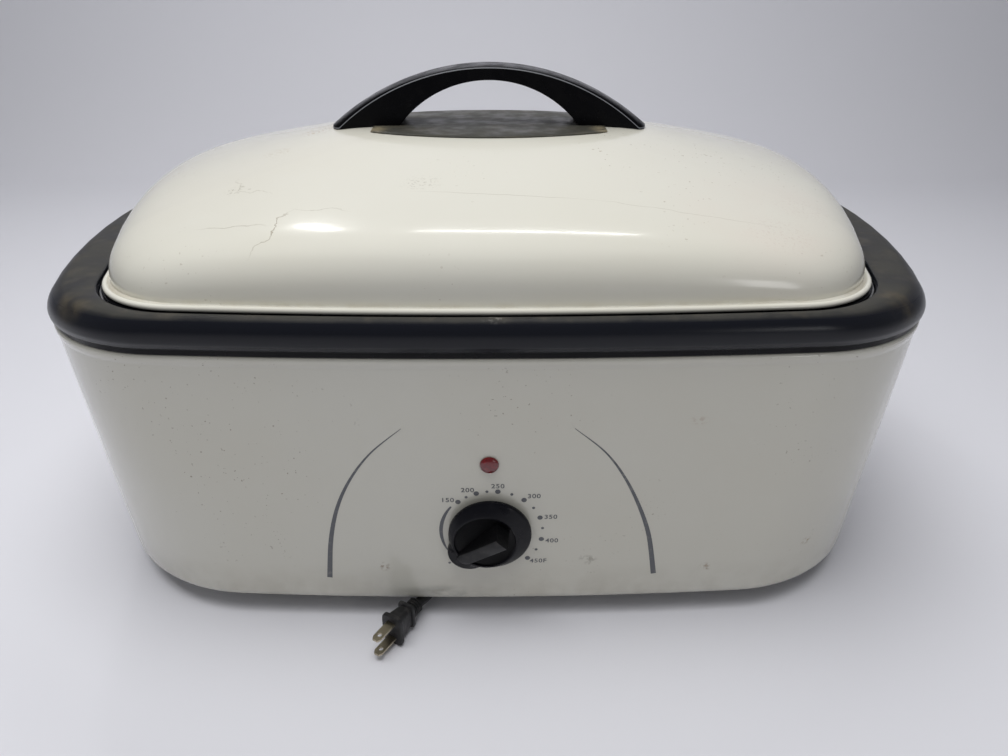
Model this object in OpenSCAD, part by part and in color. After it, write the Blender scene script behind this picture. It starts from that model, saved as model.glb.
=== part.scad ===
// Countertop electric roaster oven: a lift-off domed lid over a lift-out cookwell,
// set in a heated housing with a turned temperature knob on the front.
// Millimetres, +Z up. The origin is on the table, at the middle of the footprint.

/* [Housing] */
// Half width of the rim, at its ends
rim_half_x = 305; // [270:1:330]
// Half depth of the rim, at its front and back
rim_half_y = 216; // [200:1:235]
// Corner radius of the rim, seen from above
rim_corner_r = 101; // [80:1:120]
// Radius of the slight bow of the rim's ends
end_bow_r = 462; // [400:1:900]
// Radius of the slight bow of the rim's front and back
side_bow_r = 2870; // [1800:10:5000]
// Height of the painted body
body_h = 191; // [180:1:215]
// Wall of the painted body
body_t = 1.2; // [0.8:0.1:2]
// How far the body draws in towards its foot, at each end
taper_x = 8; // [2:0.5:14]
// How far the body draws in towards its foot, at the front and back
taper_y = 3; // [1:0.5:10]
// Corner radius of the body at its foot, seen from above
foot_corner_r = 118; // [95:1:125]
// Radius of the roll along the body's bottom edge
bottom_roll = 9; // [5:0.5:14]
// Width of the flange turned in under the body
bottom_flange = 16; // [10:1:24]
// How far the rim stands out past the body's lip, at each end
lip_set_x = 1; // [0.5:0.5:4]
// How far the rim stands out past the body's lip, at the front and back
lip_set_y = 4; // [2:0.5:7]
// Height of the black rim above the body
rim_h = 24.2; // [21:0.2:30]
// Wall of the rim's moulding
rim_t = 3; // [2:0.2:4]
// Thickness of the base plate
base_t = 1.2; // [0.8:0.1:2]
// Height of the body's bottom edge above the table
foot_gap = 14; // [13:0.5:22]
// Radius of a foot where it stands
foot_r = 11; // [8:0.5:16]
// Distance of the feet from the middle, along X
foot_x = 205; // [150:5:215]
// Distance of the feet from the middle, along Y
foot_y = 125; // [90:5:135]

/* [Lid] */
// Half width of the lid over its rolled edge
lid_half_x = 260; // [236:1:262]
// Half depth of the lid over its rolled edge
lid_half_y = 203; // [186:1:203]
// Corner radius of the lid's rolled edge, seen from above
lid_corner_r = 64; // [50:1:80]
// Radius of the bow of the lid's ends
lid_end_bow_r = 575; // [450:5:1000]
// Radius of the bow of the lid's front and back
lid_side_bow_r = 2270; // [1500:10:4000]
// Sheet thickness of the lid
lid_t = 1.2; // [0.8:0.1:2]
// Radius of the rolled bead round the lid
bead_r = 2; // [1.5:0.1:2.6]
// Corner radius of the dome at its foot, seen from above
dome_corner_r = 66; // [50:1:80]
// Width of the gutter between the bead and the dome, at the ends
gutter_x = 4; // [3:0.5:8]
// Width of the gutter between the bead and the dome, at the front and back
gutter_y = 6; // [4:0.5:9]
// Height that the lid's shoulder adds
shoulder_h = 26; // [18:1:36]
// Sharpness of the shoulder
shoulder_power = 17; // [8:1:24]
// Height that the lid's crown adds
crown_h = 46; // [34:1:54]
// Roundness of the crown's top
crown_round = 0.3; // [0.2:0.01:0.6]
// Fall of the crown towards the ends
crown_fall_x = 1.13; // [0.8:0.01:1.3]
// Fall of the crown towards the front and back
crown_fall_y = 1.3; // [0.8:0.01:1.45]

/* [Lid handle] */
// Radius of the arch over the top of the handle
arch_r = 184; // [170:1:200]
// Radius of the arch under the handle
grip_arch_r = 85; // [78:1:96]
// Thickness of the handle at its middle
grip_t = 9.6; // [8:0.2:14]
// Half length of the handle
handle_half = 120; // [105:1:128]
// Half depth of the handle
handle_half_w = 17; // [12:0.5:22]
// Height of the handle's top over the lid
handle_rise = 35; // [30:1:42]
// Half width of the guard plate under the handle
plate_half_x = 85; // [78:1:100]
// Half depth of the guard plate
plate_half_y = 57; // [40:1:70]
// Thickness of the guard plate
plate_t = 1.2; // [0.8:0.1:2]
// Distance of the handle screws from the middle
handle_screw_x = 86; // [78:1:94]
// Radius of the handle screws' shank
handle_screw_r = 2; // [1.5:0.1:2.5]

/* [Cookwell and liner] */
// Width of the rim's ledge that carries the liner and the cookwell
ledge_w = 19; // [14:1:24]
// Wall of the cookwell
pan_t = 1.6; // [1:0.1:2.4]
// Depth of the cookwell
pan_depth = 146; // [110:1:150]
// Draft of the cookwell's walls over their height
pan_draft = 15; // [6:1:18]
// Wall of the heated liner
liner_t = 1; // [0.8:0.1:2]
// Depth of the heated liner
liner_depth = 165; // [156:1:170]
// Gap between the cookwell's wall and the liner's wall
pan_gap = 4; // [2.5:0.5:6]
// Radius of the rack's frame wire
frame_wire_r = 2.2; // [1.6:0.1:3]
// Radius of the rack's bars
bar_r = 1.6; // [1.2:0.1:2.2]
// Number of bars across the rack
bar_count = 11; // [5:2:17]
// Height of the rack's frame over the cookwell's floor
rack_lift_h = 12; // [8:1:20]
// Height of the rack's end handles above its frame
rack_handle_h = 62; // [40:1:70]

/* [Controls] */
// Height of the knob's axis below the body's top edge
knob_drop = 126.5; // [110:0.5:135]
// Radius of the knob's skirt
knob_r = 27; // [22:0.5:30]
// How far the knob reaches out from the panel
knob_reach = 27; // [22:0.5:34]
// Width of the knob's grip bar
bar_w = 10; // [8:0.5:16]
// How far the knob's pointer stands out past its skirt
pointer_out = 4.5; // [2:0.5:5]
// Radius of the thermostat's stem
stem_r = 3; // [2.5:0.1:4]
// Angle of the grip at OFF, clockwise from straight up
off_angle = 225; // [200:1:250]
// Height of the indicator lens over the knob's axis
lens_rise = 52.5; // [40:0.5:60]
// Radius of the indicator lens
lens_r = 6; // [4.5:0.1:8]
// Radius of the thermostat's body
stat_r = 17; // [13:0.5:20]
// Depth of the thermostat's body
stat_depth = 16; // [12:1:18]

/* [Cord] */
// Radius of the cord
cord_r = 3.5; // [3:0.1:4]
// Distance between the plug's blades
blade_pitch = 12.7; // [12.7:0.1:12.7]
// Length of the plug's blades
blade_l = 17; // [15:0.5:18]

/* [Fit] */
// Gap where one piece rests on another
rest_gap = 0.3; // [0.2:0.1:0.5]
// Radial clearance of the stem in its bearing
running_gap = 0.06; // [0.04:0.01:0.1]
// Clearance round a part that passes through a hole
pass_gap = 0.4; // [0.3:0.1:0.8]

/* [Hidden] */

// Segments of a quarter outline: half an end, one corner, half a side
end_n = 2;
corner_n = 7;
side_n = 3;

// Plan outlines are [half x, half y, corner radius, end bow radius, side bow radius]
rim_o = [rim_half_x, rim_half_y, rim_corner_r, end_bow_r, side_bow_r];
bead_o = [lid_half_x, lid_half_y, lid_corner_r, lid_end_bow_r, lid_side_bow_r];
lip_o = draw_in(rim_o, lip_set_x, lip_set_y);
lip_out = 1.2;
wall_o = draw_in(lip_o, lip_out, lip_out);
foot_o = with_corner(draw_in(wall_o, taper_x, taper_y), foot_corner_r);
floor_o = draw_in(foot_o, bottom_roll, bottom_roll);
dome_o = with_corner(draw_in(bead_o, gutter_x, gutter_y), dome_corner_r);
well_gap = 3;
recess_o = draw_in(bead_o, -well_gap - 2, -well_gap);
mouth_o = draw_in(bead_o, ledge_w - 4, ledge_w - 4);
ledge_o = draw_in(mouth_o, -liner_t / 2, -liner_t / 2);
liner_o = draw_in(mouth_o, 1, 1);
pan_o = draw_in(liner_o, liner_t + pan_gap, liner_t + pan_gap);
flange_o = draw_in(recess_o, 2, 2);

// Heights over the table
body_z = foot_gap;
top_z = body_z + body_h;
rim_z = top_z + rim_h;
ledge_z = rim_z - 4.9;
pan_rest_z = ledge_z + liner_t + rest_gap;
pan_rim_z = pan_rest_z + pan_t;
pan_floor_z = pan_rim_z - pan_depth;
liner_floor_z = ledge_z - liner_depth;
bead_z = pan_rim_z + rest_gap + bead_r;
dome_z = bead_z + 3.3;
apex_z = dome_z + shoulder_h + crown_h;
base_z = body_z + body_t;
wall_top_z = top_z - 8;
wall_foot_z = body_z + bottom_roll;

// Panel: the front wall, which leans in towards the foot
panel_tilt = atan(taper_y / (wall_top_z - wall_foot_z));
knob_z = top_z - knob_drop;
lens_z = knob_z + lens_rise;

// The body stands back by this much, so that the origin is under the middle of the whole
body_y = (panel_y(knob_z) + knob_reach - rim_half_y) / 2;

// Handle arch
handle_top_z = apex_z + handle_rise;
plate_lift = 0.4;
foot_lift = plate_lift + plate_t + 0.45;
foot_lift_out = 0.6;

// Cord route on the table, from the relief to the back of the plug
cord_start = [70, -136, 8];
cord_route = [cord_start, [70, -124, 8], [70, -112, 7.8], [70, -84, 4.8], [70, -50, 3.7], [70, 0, 3.7],
    [70, 60, 3.7], [68, 100, 3.7], [58, 132, 3.7], [38, 155, 3.7], [12, 165, 3.7],
    [-18, 163, 3.7], [-42, 150, 3.7], [-58, 126, 3.7], [-64, 95, 3.7], [-64, 40, 3.7],
    [-62, -20, 3.7], [-56, -80, 3.7], [-48, -125, 3.8], [-42, -155, 4.6],
    [-40, -175, 6.4], [-43, -192, 9], [-53, -209.5, 12.4]];
plug_heading = 239;
plug_relief_l = 10;
plug_body_l = 18;

// ---------- plan outlines and lofts ----------

function draw_in(o, dx, dy) = [o[0] - dx, o[1] - dy, o[2] - (dx + dy) / 2, o[3] - dx, o[4] - dy];

function with_corner(o, r) = [o[0], o[1], r, o[3], o[4]];

// Centre of the corner arc, tangent inside the end arc and the side arc
function corner_centre(o) =
    let (c1 = [0, o[1] - o[4]], c2 = [o[0] - o[3], 0])
    let (d1 = o[4] - o[2], d2 = o[3] - o[2], v = c2 - c1, d = norm(v))
    let (a = (d1 * d1 - d2 * d2 + d * d) / (2 * d), h = sqrt(d1 * d1 - a * a))
    let (u = v / d)
    c1 + a * u + h * [-u[1], u[0]] * sign(-u[1] - u[0]);

function arc_points(c, r, a0, a1, n) =
    [for (i = [0:n - 1]) let (a = a0 + (a1 - a0) * i / n) c + r * [cos(a), sin(a)]];

// Quarter outline, from the middle of the end towards the middle of the side
function quarter(o) =
    let (c = corner_centre(o), ce = [o[0] - o[3], 0], cs = [0, o[1] - o[4]])
    let (ta = atan2(c[1], c[0] - ce[0]), tb = atan2(c[1] - cs[1], c[0]))
    concat(arc_points(ce, o[3], 0, ta, end_n), arc_points(c, o[2], ta, tb, corner_n),
        arc_points(cs, o[4], tb, 90, side_n), [[0, o[1]]]);

function outline(o) =
    let (q = quarter(o), n = len(q) - 1)
    concat([for (i = [0:n - 1]) q[i]],
        [for (i = [n:-1:1]) [-q[i][0], q[i][1]]],
        [for (i = [0:n - 1]) -q[i]],
        [for (i = [n:-1:1]) [q[i][0], -q[i][1]]]);

function ring(o, z) = [for (p = outline(o)) [p[0], p[1], z]];

function middle(r) = [for (k = [0:2]) [for (p = r) p[k]] * [for (p = r) 1] / len(r)];

// Skin over a stack of rings, closed by a fan at each end
module loft(rings) {
    n = len(rings[0]);
    m = len(rings);
    points = concat([for (r = rings) each r], [middle(rings[0]), middle(rings[m - 1])]);
    sides = [for (i = [0:m - 2], j = [0:n - 1])
        let (k = (j + 1) % n, a = i * n, b = a + n)
        each [[a + j, b + j, b + k], [a + j, b + k, a + k]]];
    first = [for (j = [0:n - 1]) [m * n, j, (j + 1) % n]];
    last = [for (j = [0:n - 1]) [m * n + 1, (m - 1) * n + (j + 1) % n, (m - 1) * n + j]];
    polyhedron(points, concat(sides, first, last));
}

// Skin over a stack of rings that comes back to its first ring
module loop_loft(rings) {
    n = len(rings[0]);
    m = len(rings);
    points = [for (r = rings) each r];
    sides = [for (i = [0:m - 1], j = [0:n - 1])
        let (k = (j + 1) % n, a = i * n, b = ((i + 1) % m) * n)
        each [[a + j, b + j, b + k], [a + j, b + k, a + k]]];
    polyhedron(points, sides);
}

// ---------- places ----------

// Distance of the front panel's face from the body's middle, at height z
function panel_y(z) = wall_o[1] - (wall_top_z - z) * tan(panel_tilt);

// Puts +Z along the panel's outward normal, with the origin on the panel's face
module on_panel(z) {
    translate([0, -panel_y(z), z]) rotate([90 + panel_tilt, 0, 0]) children();
}

module placed() {
    translate([0, body_y, 0]) children();
}

// ---------- housing ----------

module outer_body() {
    color("ivory") difference() {
        loft_body();
        on_panel(knob_z) translate([0, 0, -8]) cylinder(h = 16, r = stem_r + 2, $fn = 48);
        on_panel(lens_z) translate([0, 0, -8]) cylinder(h = 16, r = lens_neck_r + pass_gap, $fn = 48);
    }
}

lens_neck_r = 4;

module loft_body() {
    t = body_t;
    r = bottom_roll;
    outer = concat(
        [ring(draw_in(floor_o, bottom_flange, bottom_flange), body_z)],
        [for (a = [0:30:90]) ring(draw_in(foot_o, r * (1 - sin(a)), r * (1 - sin(a))),
            body_z + r * (1 - cos(a)))],
        [ring(wall_o, wall_top_z), ring(wall_o, top_z - 5),
            ring(lip_o, top_z - 2.6), ring(draw_in(lip_o, 0.6, 0.6), top_z - 1),
            ring(draw_in(lip_o, 2, 2), top_z)]);
    inner = concat(
        [ring(draw_in(lip_o, 6, 6), top_z), ring(draw_in(lip_o, 6, 6), top_z - t),
            ring(draw_in(wall_o, t + 1, t + 1), top_z - t),
            ring(draw_in(wall_o, t, t), wall_top_z)],
        [for (a = [90:-45:0]) ring(draw_in(foot_o, t + (r - t) * (1 - sin(a)), t + (r - t) * (1 - sin(a))),
            body_z + t + (r - t) * (1 - cos(a)))],
        [ring(draw_in(floor_o, bottom_flange, bottom_flange), body_z + t)]);
    loop_loft(concat(outer, inner));
}

module rim() {
    color("#1c1c1e") loop_loft([
        ring(draw_in(rim_o, 2.5, 4.5), top_z + rest_gap),
        ring(draw_in(rim_o, 2.5, 4.5), top_z + 5),
        ring(draw_in(rim_o, 0, 3.5), top_z + 6.5),
        ring(draw_in(rim_o, 0, 3), top_z + 9.5),
        ring(draw_in(rim_o, 1.2, 0.6), top_z + 11),
        ring(draw_in(rim_o, 2.5, 0), top_z + 13.5),
        ring(draw_in(rim_o, 5, 0.4), rim_z - 7.2),
        ring(draw_in(rim_o, 9, 1.8), rim_z - 3.7),
        ring(draw_in(rim_o, 13, 4), rim_z - 1.2),
        ring(draw_in(rim_o, 17, 7), rim_z),
        ring(draw_in(recess_o, -1, -1), rim_z),
        ring(recess_o, ledge_z + 1),
        ring(recess_o, ledge_z),
        ring(ledge_o, ledge_z),
        ring(ledge_o, ledge_z - rim_t),
        ring(draw_in(rim_o, 13, 9.5), ledge_z - rim_t),
        ring(draw_in(rim_o, 4 + rim_t, 6 + rim_t), top_z + 6),
        ring(draw_in(rim_o, 4 + rim_t, 6 + rim_t), top_z + rest_gap)]);
}

module base_plate() {
    color("silver") difference() {
        loft([ring(draw_in(floor_o, 2, 2), base_z), ring(draw_in(floor_o, 2, 2), base_z + base_t)]);
        each_foot() translate([0, 0, base_z - 1])
            cylinder(h = base_t + 2, r = foot_screw_r + pass_gap, $fn = 32);
        translate([0, 0, base_z - 1]) cylinder(h = base_t + 2, r = tie_r + pass_gap, $fn = 32);
        translate([cord_start[0], cord_start[1] - relief_neck_y, base_z - 1])
            cylinder(h = base_t + 2, r = relief_neck_r + pass_gap / 2, $fn = 32);
    }
}

foot_screw_r = 2;
foot_h = base_z;
tie_r = 2.5;
relief_neck_r = 5;

module each_foot() {
    for (sx = [-1, 1], sy = [-1, 1]) translate([sx * foot_x, sy * foot_y, 0]) children();
}

module foot(sx, sy) {
    color("#222222") translate([sx * foot_x, sy * foot_y, 0]) difference() {
        rotate_extrude($fn = 64) polygon([[0, 0], [foot_r - 1, 0], [foot_r, 1],
            [foot_r + 2, foot_h - 1], [foot_r + 2, foot_h], [0, foot_h]]);
        translate([0, 0, -1]) cylinder(h = 6, r = 5, $fn = 48);
        cylinder(h = foot_h + 1, r = foot_screw_r + pass_gap, $fn = 32);
    }
}

module foot_screws() {
    color("silver") each_foot() {
        translate([0, 0, 2.4]) cylinder(h = 2.6, r = 4, $fn = 32);
        translate([0, 0, 4]) cylinder(h = base_z + base_t + 4 - 4, r = foot_screw_r, $fn = 32);
        translate([0, 0, base_z + base_t]) cylinder(h = 3, r = 3.8, $fn = 6);
    }
}

// ---------- heated liner and what is round it ----------

// Outline of the liner's outer face, at height z
function liner_at(z) =
    let (f = (ledge_z - z) / liner_depth)
    draw_in(liner_o, pan_draft * f, pan_draft * f);

module inner_liner() {
    t = liner_t;
    low_z = liner_floor_z + 10;
    color("#b8bbbe") difference() {
        loft([ring(draw_in(liner_at(low_z), 10, 10), liner_floor_z),
            ring(draw_in(liner_at(low_z), 3, 3), liner_floor_z + 3),
            ring(liner_at(low_z), low_z),
            ring(liner_at(ledge_z - 3), ledge_z - 3),
            ring(liner_o, ledge_z),
            ring(draw_in(flange_o, 0.5, 0.5), ledge_z),
            ring(draw_in(flange_o, 0.5, 0.5), ledge_z + t),
            ring(draw_in(liner_o, t, t), ledge_z + t),
            ring(draw_in(liner_at(low_z), t, t), low_z),
            ring(draw_in(liner_at(low_z), 3 + t / 2, 3 + t / 2), liner_floor_z + 3 + t / 2),
            ring(draw_in(liner_at(low_z), 10, 10), liner_floor_z + t)]);
        translate([0, 0, liner_floor_z - 1]) cylinder(h = t + 2, r = tie_r + pass_gap, $fn = 32);
    }
}

band_z = liner_floor_z + 26;
band_h = 30;
band_t = 2.5;

module wrap(z0, z1, gap, t) {
    loop_loft([ring(draw_in(liner_at(z0), -gap, -gap), z0),
        ring(draw_in(liner_at(z0), -gap - t, -gap - t), z0),
        ring(draw_in(liner_at(z1), -gap - t, -gap - t), z1),
        ring(draw_in(liner_at(z1), -gap, -gap), z1)]);
}

module heater_band() {
    color("#9a8f80") wrap(band_z, band_z + band_h, rest_gap, band_t);
}

module insulation() {
    color("#e6dfb8") wrap(band_z + band_h + 3, ledge_z - rim_t - 6, rest_gap, 9);
}

// Two ears and a bolt that draw the band tight, at the back
module heater_clamp() {
    z = band_z + band_h / 2;
    y = liner_at(z)[1] + rest_gap + band_t + 1;
    color("silver") translate([0, y, z]) {
        for (sx = [-1, 1]) translate([sx * 9, 0, 0]) {
            translate([sx * 8, 1, 0]) cube([16, 2, 22], center = true);
            translate([0, 7, 0]) cube([2, 14, 16], center = true);
        }
        translate([-15, 9, 0]) rotate([0, 90, 0]) cylinder(h = 30, r = 2, $fn = 32);
        for (x = [-14.5, 10.5]) translate([x, 9, 0]) rotate([0, 90, 0]) cylinder(h = 4, r = 3.6, $fn = 6);
    }
}

shield_half = 62;
shield_t = 1;
shield_foot = 12;
shield_lip = 9;
shield_gap = 6;

// Sheet between the heating band and the controls
module heat_shield() {
    y = liner_at(band_z)[1] + shield_gap;
    z = base_z + base_t;
    h = band_z + band_h - z;
    color("silver") union() {
        translate([-shield_half, -y - shield_t, z]) cube([2 * shield_half, shield_t, h]);
        translate([-shield_half, -y - shield_t, z]) cube([2 * shield_half, shield_foot, shield_t]);
        for (x = [-shield_half, shield_half - shield_t])
            translate([x, -y - shield_lip, z + 20]) cube([shield_t, shield_lip, h - 20]);
    }
}

module tie_bolt() {
    color("silver") {
        translate([0, 0, foot_gap - 4]) cylinder(h = 5.2, r = 5, $fn = 48);
        translate([0, 0, foot_gap]) cylinder(h = liner_floor_z + liner_t + 7 - foot_gap, r = tie_r, $fn = 32);
    }
}

module tie_nut() {
    color("silver") translate([0, 0, liner_floor_z + liner_t]) difference() {
        cylinder(h = 4, r = 5, $fn = 6);
        translate([0, 0, -1]) cylinder(h = 6, r = tie_r + 0.05, $fn = 32);
    }
}

// ---------- controls ----------

bracket_t = 1.2;
bow_gap = 0.7;
stat_back = body_t + rest_gap + bow_gap + bracket_t;

bracket_half = 34;
bracket_half_h = 22;
bracket_lip = 10;
ear_x = 27;
ear_screw_r = 1.5;

module thermostat_bracket() {
    color("silver") on_panel(knob_z) difference() {
        union() {
            translate([-bracket_half, -bracket_half_h, -stat_back])
                cube([2 * bracket_half, 2 * bracket_half_h, bracket_t]);
            for (x = [-bracket_half, bracket_half - bracket_t])
                translate([x, -bracket_half_h, -stat_back - bracket_lip])
                    cube([bracket_t, 2 * bracket_half_h, bracket_lip]);
        }
        translate([0, 0, -stat_back - 2]) cylinder(h = 6, r = stat_neck_r + pass_gap, $fn = 48);
        for (x = [-ear_x, ear_x]) translate([x, 0, -stat_back - 2])
            cylinder(h = 6, r = ear_screw_r + pass_gap, $fn = 24);
    }
}

stat_neck_r = 5;
stat_blade_x = 7;

// Ceramic switch body with its screwed neck, bored for the stem
module thermostat() {
    z0 = -stat_back - stat_depth;
    color("#d8d2c4") on_panel(knob_z) difference() {
        union() {
            translate([0, 0, z0]) cylinder(h = stat_depth, r = stat_r, $fn = 64);
            translate([0, 0, -stat_back]) cylinder(h = stat_back - body_t / 2, r = stat_neck_r - 0.6, $fn = 48);
            translate([-ear_x - 5, -4, -stat_back - 2]) cube([2 * ear_x + 10, 8, 2]);
            for (x = [-stat_blade_x - 1, stat_blade_x]) translate([x, -3, z0 - 5]) cube([1, 6, 6]);
        }
        translate([0, 0, z0 + 6]) cylinder(h = stat_depth + stat_back, r = stem_r + running_gap, $fn = 48);
        for (x = [-ear_x, ear_x]) translate([x, 0, -stat_back - 4])
            cylinder(h = 6, r = ear_screw_r, $fn = 24);
    }
}

module bracket_screws() {
    color("silver") on_panel(knob_z) for (x = [-ear_x, ear_x]) translate([x, 0, 0]) {
        translate([0, 0, -stat_back - 5]) cylinder(h = 6.2, r = ear_screw_r - 0.1, $fn = 24);
        translate([0, 0, -stat_back - 4.4]) cylinder(h = 2.2, r = 3, $fn = 6);
    }
}

module indicator_lens() {
    color("darkred") on_panel(lens_z) union() {
        rotate_extrude($fn = 64) intersection() {
            translate([0, -lens_sphere_r + 3]) circle(r = lens_sphere_r, $fn = 96);
            translate([0, rest_gap]) square([lens_r, 4]);
        }
        translate([0, 0, -6]) cylinder(h = 6.6, r = lens_neck_r, $fn = 48);
    }
}

lens_sphere_r = 9;

// Ring pressed on the lens's neck behind the panel
module lens_clip() {
    color("silver") on_panel(lens_z) translate([0, 0, -5]) difference() {
        cylinder(h = 2.6, r = 7, $fn = 48);
        translate([0, 0, -1]) cylinder(h = 5, r = lens_neck_r + 0.1, $fn = 48);
    }
}

module indicator_lamp() {
    color("white") on_panel(lens_z) translate([0, 0, -19]) cylinder(h = 12.7, r = 3.2, $fn = 32);
}

// Flat on the stem: where it starts, how far it is from the axis, and the stem's end
stem_flat_z = 3;
stem_flat_y = stem_r - 1.4;
stem_top = 14.4;

// Skirted knob with a grip bar that runs from its edge past its middle
module knob() {
    color("#161616") on_panel(knob_z) rotate([0, 0, -off_angle]) difference() {
        union() {
            rotate_extrude($fn = 96) polygon([[0, 3], [knob_r - 0.6, 3], [knob_r, 3.8],
                [knob_r - 0.4, 9], [knob_r - 2.4, 12.4], [knob_r - 7, 14.6], [0, 15.6]]);
            translate([0, knob_r + pointer_out - pointer_r, 3]) cylinder(h = 8.8, r = pointer_r, $fn = 64);
            translate([-bar_w / 2, 0, 0]) rotate([90, 0, 90]) linear_extrude(bar_w) grip_profile();
        }
        translate([0, 0, 2]) cylinder(h = stem_top - 0.4, r = stem_r + running_gap, $fn = 48);
        translate([0, 0, 2.9]) rotate_extrude($fn = 64) translate([stem_r + 4, 0])
            square([knob_r - stem_r - 7, 6]);
    }
}

pointer_r = 15;

// Side view of the grip bar: highest at its end past the middle, and low at the pointer
module grip_profile() {
    tip = knob_r + pointer_out - 1.5;
    polygon([[-14, 8], [-14, knob_reach - 1], [-13, knob_reach], [-10, knob_reach],
        [knob_r - 7, knob_reach - 10.4], [tip, 11], [tip, 8]]);
}

module knob_stem() {
    z0 = -stat_back - stat_depth + 6.4;
    color("silver") on_panel(knob_z) rotate([0, 0, -off_angle]) union() {
        translate([0, 0, z0]) cylinder(h = stem_flat_z - z0, r = stem_r, $fn = 48);
        intersection() {
            translate([0, 0, z0]) cylinder(h = stem_top - z0, r = stem_r, $fn = 48);
            translate([-stem_r - 1, -stem_r - 1, z0]) cube([2 * stem_r + 2, stem_r + 1 + stem_flat_y, stem_top - z0]);
        }
    }
}

// Spring clip that holds the knob on the flat of the stem
module knob_clip() {
    color("silver") on_panel(knob_z) rotate([0, 0, -off_angle])
        translate([-1.6, stem_flat_y + 0.15, stem_flat_z + 1]) cube([3.2, 0.7, 9]);
}

// ---------- cord ----------

block_l = 40;
block_w = 16;
block_h = 14;

module terminal_block() {
    color("#eeeeee") translate([cord_start[0] - block_l / 2, cord_start[1] - 4, base_z + base_t]) difference() {
        cube([block_l, block_w, block_h]);
        for (x = [block_l / 4, block_l * 3 / 4]) translate([x, block_w / 2, 6])
            cylinder(h = block_h, r = 2.4, $fn = 24);
    }
}

// Leads from the terminals round the shield to the thermostat and to the lamp
lead_r = 1.2;
lead_z = base_z + base_t + block_h + 1;
stat_back_y = panel_y(knob_z) - stat_back - stat_depth;
lead_routes = [
    [[60, -131, lead_z], [68, -146, 35], [76, -176, 36], [80, -194, 48], [66, -196, 60], [44, -193, 68],
        [24, -stat_back_y + 1.6, knob_z - 2.4], [stat_blade_x + 1.3, -stat_back_y + 2.4, knob_z]],
    [[80, -131, lead_z], [86, -150, 35], [94, -178, 38], [100, -196, 60], [92, -199, 90], [60, -200, 112],
        [14, -panel_y(lens_z) + 18, lens_z - 7], [2, -panel_y(lens_z) + 21, lens_z - 1.4]]];

module lead_wires() {
    color("firebrick") for (route = lead_routes) tube(route_line(route), lead_r, 6);
}

relief_w = 16;
relief_l = 22;
relief_low = 3;
relief_neck_y = 9;
boot_l = 22;

// Block under the base plate with its neck through the plate and a tapered boot on the cord
module cord_relief() {
    color("#1a1a1a") translate([cord_start[0], cord_start[1] + 3, 0]) union() {
        translate([-relief_w / 2, -relief_l, relief_low]) cube([relief_w, relief_l, base_z - relief_low]);
        translate([0, -relief_neck_y - 3, base_z - 1])
            cylinder(h = base_t + 3, r = relief_neck_r, $fn = 32);
        translate([0, -1, cord_start[2]]) rotate([-90, 0, 0])
            cylinder(h = boot_l + 1, r1 = cord_r + 3, r2 = cord_r + 1, $fn = 32);
    }
}

// Points of a curve through the route, each stretch bent to its neighbours
function spline(p, i, t) =
    let (n = len(p) - 1)
    let (a = p[max(i - 1, 0)], b = p[i], c = p[i + 1], d = p[min(i + 2, n)])
    ((2 * b) + (c - a) * t + (2 * a - 5 * b + 4 * c - d) * t * t
        + (3 * b - a - 3 * c + d) * t * t * t) / 2;

cord_sides = 8;
route_steps = 3;

function route_line(p) = concat([for (i = [0:len(p) - 2], k = [0:route_steps - 1])
    spline(p, i, k / route_steps)], [p[len(p) - 1]]);

function heading(p, i) =
    let (n = len(p) - 1, v = p[min(i + 1, n)] - p[max(i - 1, 0)]) v / norm(v);

module tube(line, r, sides) {
    m = len(line);
    rings = [for (i = [0:m - 1])
        let (h = heading(line, i), s = cross(h, [0, 0, 1]), x = s / norm(s), y = cross(x, h))
        [for (j = [0:sides - 1]) let (a = 360 * (j + 0.5) / sides)
            line[i] + r * (cos(a) * x + sin(a) * y)]];
    loft([for (i = [0:m - 1]) [for (j = [0:sides - 1]) rings[i][sides - 1 - j]]]);
}

module cord() {
    color("#1a1a1a") tube(route_line(cord_route), cord_r, cord_sides);
}

// Puts +X along the plug, with the origin at the end of the cord
module at_plug() {
    translate(cord_route[len(cord_route) - 1]) rotate([0, 0, plug_heading]) translate([-3, 0, 0]) children();
}

module plug_body() {
    front = plug_relief_l + plug_body_l;
    color("#1a1a1a") at_plug() union() {
        rotate([0, 90, 0]) cylinder(h = plug_relief_l + 1, r1 = cord_r + 0.6, r2 = cord_r + 1.6, $fn = 32);
        for (x = [2, 5, 8]) translate([x, 0, 0]) rotate([0, 90, 0]) cylinder(h = 1.6, r = 6, $fn = 32);
        hull() {
            translate([plug_relief_l, -5, -8]) cube([1, 10, 16]);
            translate([front - 4, -6.5, -10.5]) cube([1, 13, 21]);
        }
        translate([front - 3.5, -8, -12]) cube([3.5, 16, 24]);
    }
}

module plug_blades() {
    front = plug_relief_l + plug_body_l;
    color("#c9c4b4") at_plug() for (s = [-1, 1]) translate([front, 0, s * blade_pitch / 2]) difference() {
        union() {
            translate([0, -3.2, -0.75]) cube([blade_l - 2, 6.4, 1.5]);
            translate([blade_l - 2, -2.2, -0.75]) cube([2, 4.4, 1.5]);
        }
        translate([blade_l - 5, 0, -2]) cylinder(h = 4, r = 1.6, $fn = 24);
    }
}

// ---------- cookwell and rack ----------

// Outline of the cookwell's outer face, at height z
function pan_at(z) =
    let (f = (pan_rest_z - z) / pan_depth)
    draw_in(pan_o, pan_draft * f, pan_draft * f);

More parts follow.
